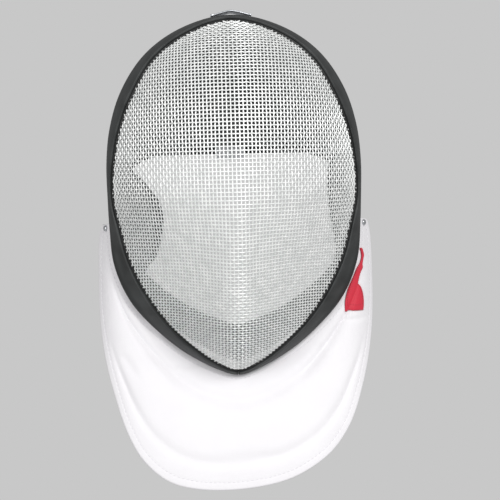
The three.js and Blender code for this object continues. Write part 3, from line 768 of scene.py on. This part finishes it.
def weave_wires(prefix, grid, gap, inside, material, node):
    """The two sets of wires of a net, as one mesh for each set."""
    normals = unit(gradient(gap, grid))
    if np.sum((grid - HEAD_CENTRE) * normals * inside[..., None]) < 0:
        normals = -normals
    i, j = np.indices(inside.shape)
    over = 1 - 2.0 * ((i + j) % 2)
    warp = zip(grid, normals, inside, over)
    weft = zip(*(a.swapaxes(0, 1) for a in (grid, normals, inside, -over)))
    for kind, lines in (("warp", warp), ("weft", weft)):
        runs = [run for line in lines for run in wire_runs(*line, WIRE_RADIUS * WIRE_BEND)]
        dress(tubes(f"{prefix}_{kind}", runs, WIRE_RADIUS, WIRE_SIDES, material), "wire", node)


def face_line(angle, upto=1.06):
    """A spoke of the face mesh from the hub to just past the rim, finely sampled."""
    fall = np.linspace(0, 1, 1500) ** 2.2 * upto
    outward = np.maximum(1 - signed_power(1 - fall, 1 / rim(angle, "roll")), 0)
    share = np.power(outward, 1 / rim(angle, "swell"))
    reach = rim(angle, "radius") * share
    x, height = reach * sin_deg(angle), HUB_HEIGHT + reach * cos_deg(angle)
    return stack(x, bowl_depth(angle) * fall + ridge_fall(x, height), height)


def face_wires(material):
    sideways = even_points(face_line(90.0), WIRE_PITCH, 58)
    up = even_points(face_line(0.0), WIRE_PITCH, 68)
    down = even_points(face_line(180.0), WIRE_PITCH, 74)
    grid = whole_net(face_gap, sideways, up, down, WIRE_PITCH)
    angle, share = around_hub(grid)
    angles = np.arange(0, 181, 1.0)
    limit = np.interp(angle, angles, share_inside(angles, FACE_WIRE_END))
    weave_wires("face", grid, face_gap, share < limit, material, "face_mesh")


def crown_wires(material):
    angles = np.linspace(0, 128, 1600)
    front = rim(angles, "depth")
    behind = np.power((CROWN_SECTION_DEPTH - front) / (BACK_DEPTH - front), CROWN_FULLNESS)
    reach = rim(angles, "radius") * np.power(1 - behind, 1 / CROWN_FULLNESS)
    height = HUB_HEIGHT + reach * cos_deg(angles)
    section = stack(reach * sin_deg(angles), CROWN_SECTION_DEPTH, height)
    sideways = even_points(section, WIRE_PITCH, 78)
    turns = np.linspace(-30, 90, 3000)
    middle = crown_point(0.0, turns)
    start = int(np.argmax(middle[:, 1] >= CROWN_SECTION_DEPTH))
    back = even_points(middle[start:], WIRE_PITCH, 68)
    forward = even_points(middle[start::-1], WIRE_PITCH, 35)
    grid = whole_net(crown_gap, sideways, back, forward, WIRE_PITCH)
    angle, share = around_hub(grid)
    inside = (grid[..., 1] > rim(angle, "depth") + 2) & (angle < CROWN_END_ANGLE - 0.6)
    inside &= share > rim(angle, "edge") + 1.0 / rim(angle, "radius")
    weave_wires("crown", grid, crown_gap, inside, material, "crown_mesh")


# Galvanised steel wire, drawn bright: near white where soft light meets it, grey on its shaded side.
wire = wire_material("drawn_galvanised_wire", "#f6f7f6", "#e9ebea", "#fafbfa")
face_wires(wire)
crown_wires(wire)


# Trim

def rim_point(angle, at, front, back):
    """A point near the rim: at runs from -1, a distance in on the face mesh, to 1 on the crown."""
    inner = share_inside(angle, front)
    on_face = face_point(angle, 1 + (1 - inner) * np.minimum(at, 0))
    on_crown = crown_point(angle, turn_at(angle, np.maximum(back * at, 1e-4)))
    return np.where((at > 0)[..., None], on_crown, on_face)


def rounded(t, sharp=6.0):
    """1 over the middle of a width and falling off at both its edges."""
    return np.power(1 - np.power(np.abs(2 * t - 1), sharp), 0.5)


def make_trim():
    low = MESH_HALF + TRIM_FIT
    on_face = [-1, -0.99, -0.975, -0.95, *np.linspace(-0.9, 0, 15)]
    folded = np.array([*on_face, 0.15, 0.35, 0.6, 0.8, 0.92, 1])
    angles = np.linspace(-180, 180, 361)

    def body_point(angle, at):
        blend = smoothstep(np.abs(angle), BIB_TOP_ANGLE - 12, BIB_TOP_ANGLE)
        front = rim(angle, "trim") - TRIM_SHORT - LIP_WIDTH
        return rim_point(angle, at, front, TRIM_BACK + (TRIM_BACK_LOW - TRIM_BACK) * blend)

    def high(s, t):
        crowned = TRIM_CROWN * np.sin(np.pi * t) ** 1.5
        return low + TRIM_THICK * (0.4 + 0.6 * round_over(np.minimum(t, 1 - t) / 0.12)) + crowned

    body = wall("trim", body_point, angles, folded, low, high, moulded_rubber)
    # The fold attribute places the painted shade where the trim turns over the rim.
    fold = body.data.attributes.new("fold", "FLOAT", "POINT")
    fold.data.foreach_set("value", np.tile(folded, 2 * len(angles)).astype(np.float32))
    dress(body, "trim", "rim_trim")

    # The lip is painted shade: a near-black strip for the shadow gap between mesh and trim.
    def lip_point(angle, at):
        inner = rim(angle, "trim") - TRIM_SHORT
        inner, outer = share_inside(angle, inner), share_inside(angle, inner - LIP_WIDTH - LIP_TUCK)
        return face_point(angle, inner + (outer - inner) * at)

    def lip_high(s, t):
        return LIP_LOW + LIP_RISE * smoothstep(t, 0.2, 0.5)

    lip = wall("trim_lip", lip_point, angles, np.linspace(0, 1, 9), 0.1, lip_high, painted_shade_black)
    dress(lip, "trim", "rim_trim")
    # The cord is painted shade: a near-black line for the shadow between the trim's back edge and the
    # bib.
    around = np.linspace(BIB_TOP_ANGLE + 1, 360 - BIB_TOP_ANGLE - 1, 240)
    signed = np.where(around > 180, around - 360, around)
    points = crown_point(signed, turn_at(signed, TRIM_BACK_LOW + BEAD_RADIUS), -BEAD_RADIUS)
    cord = tubes("trim_bib_shade_cord", [(points, unit(points - HEAD_CENTRE))], BEAD_RADIUS, 8, painted_shade_black)
    dress(cord, "trim", "rim_trim")


# Rubber, moulded: dark grey with a soft sheen, faintly mottled, with painted shade along its turned
# inner edge, where it turns over away from the light.
moulded_rubber = rubber_material("moulded_rubber", "#303232", "#1f2121", "#383a3a", 0.5, "fold")

# Near-black rubber for a thin lip and a cord, dull and nearly black, as painted shade: the lip stands
# for the shadow gap where the mesh ends under the trim, the cord for the shadow line between trim and
# bib.
painted_shade_black = rubber_material("black_lip_painted_shade", "#121313", "#0d0e0e", "#191a1a", 0.6)
make_trim()


# Cloth pieces

# Each cloth gives its own colour and then a darker copy, painted into the hollows between its threads
# as shade.
# Bleached cotton twill, woven tight and washed: near white, with threads only just felt.
bib_cloth = cloth_material("white_cotton_twill", "#edecee", "#e1dfe2", 0.55, 0.8, 0.05, 0.15)

# Dark knitted jersey over foam: matte, soft at its turns, a little fluff.
dark_cloth = cloth_material("dark_knitted_jersey", "#585a59", "#434544", 0.7, 0.9, 0.12, 0.4)

# Grey jersey over foam behind the chin.
chin_cloth = cloth_material("grey_knitted_jersey", "#767877", "#5d5f5e", 0.7, 0.9, 0.12, 0.4)

# The same jersey in a lighter grey at the ears.
flap_cloth = cloth_material("light_grey_jersey", "#888a89", "#6f7170", 0.7, 0.9, 0.12, 0.4)

# Red polyester satin, woven fine: a slight shine and a clear colour.
label_cloth = cloth_material("red_polyester_satin", "#dc2a42", "#bd1b33", 0.35, 0.5, 0.03, 0.2)

# Braided elastic: ribs along its length with coarse threads across.
strap_cloth = cloth_material("braided_elastic", "#b9babd", "#97989b", 1.2, 0.85, 0.25, 0.2)

# Woven polyester tape: dark, flat, with a fine cross rib.
tape_cloth = cloth_material("woven_polyester_tape", "#2c2d2f", "#1d1e1f", 0.6, 0.85, 0.1, 0.2)

# Twisted sewing threads: a soft shine along each stitch.
white_thread = cloth_material("white_sewing_thread", "#e9e7ea", "#d4d2d6", 0.3, 0.6, 0.03, 0.2)
red_thread = cloth_material("red_sewing_thread", "#b0142b", "#8f1023", 0.3, 0.6, 0.03, 0.2)
dark_thread = cloth_material("dark_sewing_thread", "#3d3f42", "#2a2b2d", 0.3, 0.6, 0.03, 0.2)

# Pressed steel under dark paint.
dark_metal = metal_material("dark_painted_steel", "#3a3b3d", 0.4, 0.6)

# Nickel-plated brass snap: bright and smooth.
nickel = metal_material("nickel_plate", "#c3c5c8", 0.28)

# Rolled spring steel: grey, with fine lines from rolling.
spring_steel = metal_material("rolled_spring_steel", "#d4d6d9", 0.4, 0.6, brushed=True)

# Pressed aluminium sheet with a satin finish.
satin_aluminium = metal_material("satin_aluminium", "#c9ccd0", 0.38, brushed=True)


def surface_normals(point, u, v, step_u, step_v):
    """Unit normals of a surface at given places, turned away from the head."""
    across = point(u + step_u, v) - point(u - step_u, v)
    down = point(u, v + step_v) - point(u, v - step_v)
    normals = unit(np.cross(across, down))
    return normals if np.sum((point(u, v) - HEAD_CENTRE) * normals) > 0 else -normals


def raised_line(point, u, v, step_u, step_v, rise):
    """A line on a surface, lifted off it, with the surface's normals there."""
    normals = surface_normals(point, u, v, step_u, step_v)
    return point(u, v) + normals * rise, normals


def stitch_runs(points, normals, length=2.6, gap=1.3, rise=0.2, sink=0.4):
    """A row of stitches along a line: each comes up out of the cloth and goes back in."""
    away = run_lengths(points)
    lift = np.array([-sink, rise * 0.7, rise, rise * 0.7, -sink])
    runs = []
    for start in np.arange(0, away[-1] - length, length + gap):
        at = start + length * np.array([0, 0.14, 0.5, 0.86, 1])
        p, n = (read_line(at, away, line) for line in (points, normals))
        runs.append((p + n * lift[:, None], n))
    return runs


def stitches(name, lines, slot, node, material, radius=0.24, **shape):
    """Rows of stitches as one mesh. Each line is its points and the cloth's normals there."""
    runs = [run for points, normals in lines for run in stitch_runs(points, normals, **shape)]
    return dress(tubes(name, runs, radius, 5, material), slot, node)


def declare_sheet(point, across, down):
    """Measures the flat width and length that a piece of cloth's middle surface has, in metres, and
    keeps neither."""
    u, v = np.meshgrid(across, down, indexing="ij")
    points = point(u, v)
    width = float(np.linalg.norm(np.diff(points, axis=0), axis=-1).sum(0).max()) * MM
    length = float(np.linalg.norm(np.diff(points, axis=1), axis=-1).sum(1).max()) * MM


def make_bib():
    ways = np.linspace(-1, 1, 281)
    shares = np.linspace(0, 1, 121)
    strip = np.linalg.norm(bib_point(ways, np.ones(281)) - bib_point(ways, np.zeros(281)), axis=-1)

    def half(s, t):
        length = np.interp(s * 2 - 1, ways, strip)
        from_edge = (1 - t) * length
        folded = 0.08 * (1 - smoothstep(from_edge, HEM - 1, HEM))
        hem = 1 + folded - 0.12 * bell(from_edge - HEM, 0.9)
        seam = 1 - 0.1 * bell(t * length - SEAM_INSET, 1.1)
        return BIB_THICK / 2 * hem * seam * (0.45 + 0.55 * round_over(from_edge / 2.2))

    bib = wall("bib_cloth", wrinkled_bib, ways, shares, *both_sides(half), bib_cloth)
    dress(bib, "bib_cloth", "bib")
    declare_sheet(bib_point, ways, shares)
    inner = np.linspace(-0.985, 0.985, 900)
    length = np.interp(inner, ways, strip)
    lines = [
        raised_line(wrinkled_bib, inner, share, 2e-3, 5e-3, BIB_THICK * 0.4)
        for share in (1 - HEM / length, SEAM_INSET / length)
    ]
    stitches("bib_stitches", lines, "bib_cloth", "bib", white_thread)


make_bib()


def label_point(height, across):
    left, right = (along(LABEL, "height", c, height, False) for c in ("left", "right"))
    return wrinkled_bib(*bib_at(left + (right - left) * across, height))


def make_label():
    heights = np.linspace(LABEL["height"][0], LABEL["height"][-1], 61)
    shares = np.linspace(0, 1, 25)
    low = BIB_THICK / 2 + 0.1
    top = LABEL_THICK + LABEL_GAP

    def high(s, t):
        inside = np.minimum(np.minimum(t, 1 - t) * 14, np.minimum(s, 1 - s) * 38)
        return low + top * (0.55 + 0.45 * round_over(inside)) - 0.12 * bell(inside - 1.3, 0.35)

    label = wall("label_cloth", label_point, heights, shares, low, high, label_cloth)
    dress(label, "label", "label_patch")
    declare_sheet(label_point, heights, shares)
    upright = np.linspace(LABEL_HEM, -194, 90)
    paths = [(upright, np.full(90, across)) for across in (0.1, 0.9)]
    paths.append((np.full(40, LABEL_HEM), np.linspace(0.12, 0.88, 40)))
    lines = [raised_line(label_point, *path, 0.2, 0.01, low + top - 0.1) for path in paths]
    shape = dict(length=1.5, gap=0.7, rise=0.14)
    stitches("label_stitches", lines, "label", "label_patch", red_thread, 0.18, **shape)


make_label()


def pillow(s, t, sharp=5.0):
    return rounded(s, sharp) * rounded(t, sharp)


def make_top_pad():
    angles = np.linspace(-LINING_REACH, LINING_REACH, 111)
    ends = crown_inside(angles, LINING_BACKSET)
    inset = MESH_HALF + FIT * 2

    def point(angle, share):
        first = turn_at(angle, LINING_START)
        last = np.interp(angle, angles, ends)
        return crown_point(angle, first + (last - first) * share, inset)

    def low(s, t):
        channel = np.abs(np.sin(np.pi * LINING_CHANNELS * s)) ** 0.35
        return -LINING_THICK * (0.35 + 0.65 * pillow(s, t, 12) * (0.72 + 0.28 * channel))

    pad = wall("top_pad", point, angles, np.linspace(0, 1, 71), low, 0, dark_cloth)
    dress(pad, "lining", "crown_lining")


def make_chin_pad():
    span = 180 - CHIN_PAD["angle"][0]

    def point(way, share):
        angle = 180 - np.abs(way)
        upper = along(CHIN_PAD, "angle", "edge", angle)
        p = face_point(angle, upper + (CHIN_PAD_LOW - upper) * share)
        p[..., 0] *= np.where(way < 0, -1, 1)
        return p

    near = -MESH_HALF - FIT * 2

    def low(s, t):
        lumps = 0.85 + 0.15 * np.sin(s * 19) * np.sin(t * 5 + s * 7)
        return near - LINING_THICK * (0.3 + 0.7 * pillow(s, t, 8)) * lumps

    across, down = np.linspace(-span, span, 91), np.linspace(0, 1, 31)
    pad = wall("chin_cloth", point, across, down, low, near, chin_cloth)
    dress(pad, "chin_cloth", "chin_pad")


def outline_angle(height):
    angles = np.linspace(0, 180, 1801)
    heights = HUB_HEIGHT + rim(angles, "radius") * cos_deg(angles)
    return np.interp(-np.asarray(height), -heights, angles)


def make_flap(side, column, name, node):
    bottom, top = EAR_FLAPS["height"][0], EAR_FLAPS["height"][-1]
    inset = MESH_HALF + FIT + FLAP_THICK / 2 + FLAP_INSET

    def point(height, share):
        reach = along(EAR_FLAPS, "height", column, height)
        angle = outline_angle(height)
        p = crown_point(angle, turn_at(angle, FLAP_SEAM + FLAP_BACKSET * share), inset)
        return stack(side * (p[..., 0] - reach * np.power(share, FLAP_CURL)), p[..., 1], height)

    def half(s, t):
        return FLAP_THICK / 2 * (0.4 + 0.6 * pillow(s, t, 8))

    heights, shares = np.linspace(bottom, top, 61), np.linspace(0, 1, 31)
    flap = wall(name, point, heights, shares, *both_sides(half), flap_cloth)
    dress(flap, "flap_cloth", node)

    def tape_half(s, t):
        return (FLAP_THICK / 2 + FLAP_TAPE_LIFT) * rounded(t, 4)

    heights, shares = np.linspace(bottom + 1, top - 1, 61), np.linspace(*FLAP_TAPE_SHARES, 7)
    tape = wall(name + "_tape", point, heights, shares, *both_sides(tape_half), tape_cloth)
    dress(tape, "flap_cloth", node)


make_top_pad()
make_chin_pad()
make_flap(-1, "left", "flap_left", "ear_flap_left")
make_flap(1, "right", "flap_right", "ear_flap_right")


def make_tongue_pad():
    inset = MESH_HALF + FIT * 4 + LINING_THICK + TONGUE_BOW + TONGUE_THICK

    def point(angle, share):
        x = np.tan(np.radians(angle)) * TONGUE_PAD_HEIGHT * 2
        return crown_at(x, STRAP_HEIGHT - 2 + TONGUE_PAD_HEIGHT * share, inset)

    def low(s, t):
        quilted = 0.9 + 0.1 * np.abs(np.sin(np.pi * 3 * s)) ** 0.4
        return -TONGUE_PAD_THICK * (0.25 + 0.75 * pillow(s, t, 5)) * quilted

    across = np.linspace(-TONGUE_PAD_ANGLE, TONGUE_PAD_ANGLE, 61)
    pad = wall("tongue_cushion", point, across, np.linspace(0, 1, 41), low, 0, dark_cloth)
    dress(pad, "lining", "tongue_pad")


def tape_section(half, leg, fit):
    """A folded tape's section, with its corners rounded by arcs."""
    inner, reach = half + fit, FIT
    outer, edge = inner + TAPE, FIT + TAPE
    arc = np.radians(np.linspace(90, 0, 5))
    corner = np.stack([edge - TAPE + TAPE * np.cos(arc), outer - TAPE + TAPE * np.sin(arc)], -1)
    upper = np.concatenate([[[-leg, outer - 0.3], [-leg + 0.4, outer]], corner])
    lower = upper[::-1] * np.array([1, -1])
    hollow = [[-leg, -inner], [reach, -inner], [reach, inner], [-leg, inner]]
    return np.concatenate([upper, lower, hollow])


def sweep(name, origins, out, normals, section, material):
    """A section carried along a path, with both ends closed, and UVs in millimetres."""
    count, size = len(origins), len(section)
    reach, rise = section[None, :, :1], section[None, :, 1:]
    corners = origins[:, None] + reach * out[:, None] + rise * normals[:, None]
    faces = ring_faces(count, size).tolist()
    faces += [list(range(size))[::-1], list(range((count - 1) * size, count * size))]
    far, around = run_lengths(origins), run_lengths(section)
    uv = np.stack(np.broadcast_arrays(far[:, None], around[None]), -1)
    return closed_mesh(name, corners.reshape(-1, 3), faces, material, uv)


def edge_tape(name, edge, inside, fit):
    """A tape folded over an edge, with a row of stitches along each of its legs."""
    run = unit(np.gradient(edge, axis=0))
    normals = unit(np.cross(run, inside - edge))
    normals *= np.sign(np.sum((edge - HEAD_CENTRE) * normals))
    out = unit(np.cross(run, normals))
    out *= -np.sign(np.sum((inside - edge) * out))
    tape = sweep(name, edge, out, normals, tape_section(MESH_HALF, BINDING_LEG, fit), tape_cloth)
    dress(tape, "binding", "back_binding")
    seam = edge - out * (BINDING_LEG - TAPE_STITCH_INSET)
    half = MESH_HALF + fit + TAPE
    lines = [(seam + normals * half * side, normals * side) for side in (1, -1)]
    stitches(name + "_stitches", lines, "binding", "back_binding", dark_thread, 0.2)


def make_binding():
    angles = np.linspace(-CROWN_END_ANGLE, CROWN_END_ANGLE, 321)
    inside = crown_point(angles, crown_end(angles) - 3)
    edge_tape("binding_tape", crown_edge(angles), inside, BINDING_FIT)
    for side, name in ((-1, "left"), (1, "right")):
        low = np.full(40, side * CROWN_END_ANGLE)
        turns = np.linspace(turn_at(CROWN_END_ANGLE, 15.0), crown_end(CROWN_END_ANGLE), 40)
        edge, inside = crown_point(low, turns), crown_point(low - side * 2, turns)
        edge_tape(f"lower_tape_{name}", edge, inside, BINDING_FIT + LOWER_TAPE_LIFT)


def strap_point(bearing, place_up):
    return crown_on_bearing(bearing, STRAP_HEIGHT + STRAP_WIDTH * place_up, -strap_offset(bearing))


def make_strap():
    around, up = np.linspace(-STRAP_REACH, STRAP_REACH, 301), np.linspace(-0.5, 0.5, 41)

    def half(s, t):
        ribs = STRAP_RIB_RISE * (np.abs(np.sin(np.pi * STRAP_RIBS * t)) - 0.5)
        return STRAP_THICK / 2 * (0.55 + 0.45 * round_over(np.minimum(t, 1 - t) / 0.05)) + ribs

    strap = wall("elastic_strap", strap_point, around, up, *both_sides(half), strap_cloth)
    dress(strap, "elastic", "back_strap")
    declare_sheet(strap_point, around, up)
    height = np.linspace(-0.4, 0.4, 40)
    ends = [side * (STRAP_REACH - inset) for side in (-1, 1) for inset in STRAP_STITCH_INSETS]
    lines = [
        raised_line(strap_point, np.full(40, end), height, 0.3, 0.02, STRAP_THICK * 0.5)
        for end in ends
    ]
    stitches("strap_stitches", lines, "elastic", "back_strap", dark_thread, 0.22)


# A rivet's or stud's profile: shares of its radius and of its height, from its top to its foot.
DOME = (
    (0, 1), (0.35, 0.95), (0.65, 0.78), (0.86, 0.48), (0.97, 0.12), (1, -0.35), (0.94, -0.6), (0, -0.6),
)
DOME_SIDES = 32


def dome(name, at, axis, radius, height, slot, node, material):
    """A round head turned from the profile, standing at a point along an axis."""
    axis = unit(axis)
    side = unit(np.cross(axis, [0.0, 0.0, 1.0]))
    up = np.cross(side, axis)
    turn = full_turn(DOME_SIDES)[:, None]
    rings = [
        at + axis * height * z + radius * r * (side * np.cos(turn) + up * np.sin(turn))
        for r, z in DOME[1:-1]
    ]
    top, bottom = (at + axis * height * z for _, z in (DOME[0], DOME[-1]))
    points = np.concatenate([[top], *rings, [bottom]])
    pairs = [(k, (k + 1) % DOME_SIDES) for k in range(DOME_SIDES)]
    last, foot = 1 + (len(rings) - 1) * DOME_SIDES, len(points) - 1
    faces = [[0, 1 + j, 1 + i] for i, j in pairs]
    faces += ring_faces(len(rings), DOME_SIDES, 1).tolist()
    faces += [[last + i, last + j, foot] for i, j in pairs]
    return dress(closed_mesh(name, points, faces, material), slot, node)


def make_fasteners():
    for side, name in ((-1, "left"), (1, "right")):
        bearing = np.array([side * (STRAP_REACH - RIVET_INSET)])
        off = strap_offset(bearing) + STRAP_THICK / 2 + FIT * 2
        at = crown_on_bearing(bearing, STRAP_HEIGHT, -off)[0]
        ahead, here = (crown_on_bearing(b, STRAP_HEIGHT, 0.0)[0] for b in (bearing + 0.5, bearing))
        run = ahead - here
        out = np.array([run[1], -run[0], 0.0])
        out *= np.sign(out[0]) * side
        at = at + unit(out) * 0.6
        size = RIVET_RADIUS, RIVET_HEIGHT
        dome(f"rivet_{name}", at, out, *size, "rivet", f"strap_rivet_{name}", dark_metal)
        way, share = np.array([side * STUD_WAY]), np.array([STUD_SHARE])
        out = surface_normals(bib_point, way, share, 0.01, 0.01)[0]
        out *= -np.sign(out[1])
        at = bib_point(way, share)[0] + out * (BIB_THICK / 2 + 0.7)
        size = STUD_RADIUS, STUD_HEIGHT
        dome(f"stud_{name}", at, out, *size, "stud", f"bib_stud_{name}", nickel)


def make_clip():
    low = MESH_HALF + TRIM_FIT + TRIM_THICK + FIT + 0.3

    def point(angle, at):
        p = rim_point(angle, at, CLIP_FRONT, CLIP_BACK)
        p[..., 2] += CLIP_PEAK * (1 - np.abs(angle) / CLIP_ANGLE)
        return p

    def high(s, t):
        return low + CLIP_THICK + CLIP_TAB_RISE * smoothstep(np.abs(2 * s - 1), 0.86, 0.9)

    angles = np.linspace(-CLIP_ANGLE, CLIP_ANGLE, 61)
    places = np.concatenate([np.linspace(-1, 0, 7), np.linspace(0.06, 1, 24)])
    clip = wall("clip_plate", point, angles, places, low, high, satin_aluminium)
    dress(clip, "clip", "tongue_clip")


def repaint(node, material):
    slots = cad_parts[node].data.materials
    slots.clear()
    slots.append(material)


make_tongue_pad()
make_binding()
make_strap()
make_fasteners()
make_clip()
repaint("tongue_spring", spring_steel)


# Stage, light and camera

FLOOR_HEIGHT = -0.85
FLOOR_RADIUS = 1.2
BACKDROP = "#c8c8c8"
AMBIENT = 0.68
LIT_CENTRE = (0.0, 0.0, -0.17)
LENS_MM = 108
SENSOR_MM = 36
CAMERA_AT = (-0.0254, -1.296, -0.1055)
CAMERA_TARGET = (0.0120, -0.036, -0.1769)
CAMERA_ROLL = -1.3

# Square soft lights: name, place and side in metres, power in watts.
LIGHTS = (
    ("key", (0.75, -1.6, 0.7), 0.8, 27.5),
    ("fill", (-1.1, -1.6, 0.15), 1.4, 16.0),
)


def make_stage():
    ring = [
        (FLOOR_RADIUS * math.cos(a), FLOOR_RADIUS * math.sin(a), FLOOR_HEIGHT)
        for a in full_turn(96)
    ]
    mesh = bpy.data.meshes.new("floor")
    mesh.from_pydata(ring, [], [list(range(len(ring)))])
    floor = new_object("floor", mesh)
    pale = new_material("pale_floor", "#d8d8d8", 0.7)
    mottle = add(pale, "TexNoise", "Fac", {
        "Vector": where(pale), "Scale": grains(33.3), "Detail": 4.0,
    })
    tones = {0: mottle, 6: colour("#d5d5d5"), 7: colour("#dadada")}
    link(pale, add(pale, "Mix", 2, tones, data_type="RGBA"), "Base Color")
    mesh.materials.append(pale)


def make_studio():
    """A pale backdrop all round that lights the part less than it shows, as a far white wall does."""
    world = bpy.data.worlds.new("studio")
    world.use_nodes = True
    background = world.node_tree.nodes["Background"]
    background.inputs["Color"].default_value = colour(BACKDROP)
    strength = add(world, "MapRange", "Result", {
        "Value": add(world, "LightPath", "Is Camera Ray", {}), "To Min": AMBIENT, "To Max": 1.0,
    })
    world.node_tree.links.new(strength, background.inputs["Strength"])
    bpy.context.scene.world = world


def make_lights():
    for name, location, side, watts in LIGHTS:
        light = bpy.data.lights.new(name, "AREA")
        light.shape = "SQUARE"
        light.size = side
        light.energy = watts
        obj = new_object(name, light)
        obj.location = location
        aim = Vector(LIT_CENTRE) - Vector(location)
        obj.rotation_euler = aim.to_track_quat("-Z", "Y").to_euler()


def make_camera():
    data = bpy.data.cameras.new("camera")
    data.lens = LENS_MM
    data.sensor_width = SENSOR_MM
    camera = new_object("camera", data)
    camera.location = CAMERA_AT
    look = (Vector(CAMERA_TARGET) - camera.location).to_track_quat("-Z", "Y")
    roll = Quaternion((0.0, 0.0, 1.0), math.radians(CAMERA_ROLL))
    camera.rotation_euler = (look @ roll).to_euler()
    bpy.context.scene.camera = camera
    bpy.context.scene.view_settings.view_transform = "Standard"


make_stage()
make_studio()
make_lights()
make_camera()
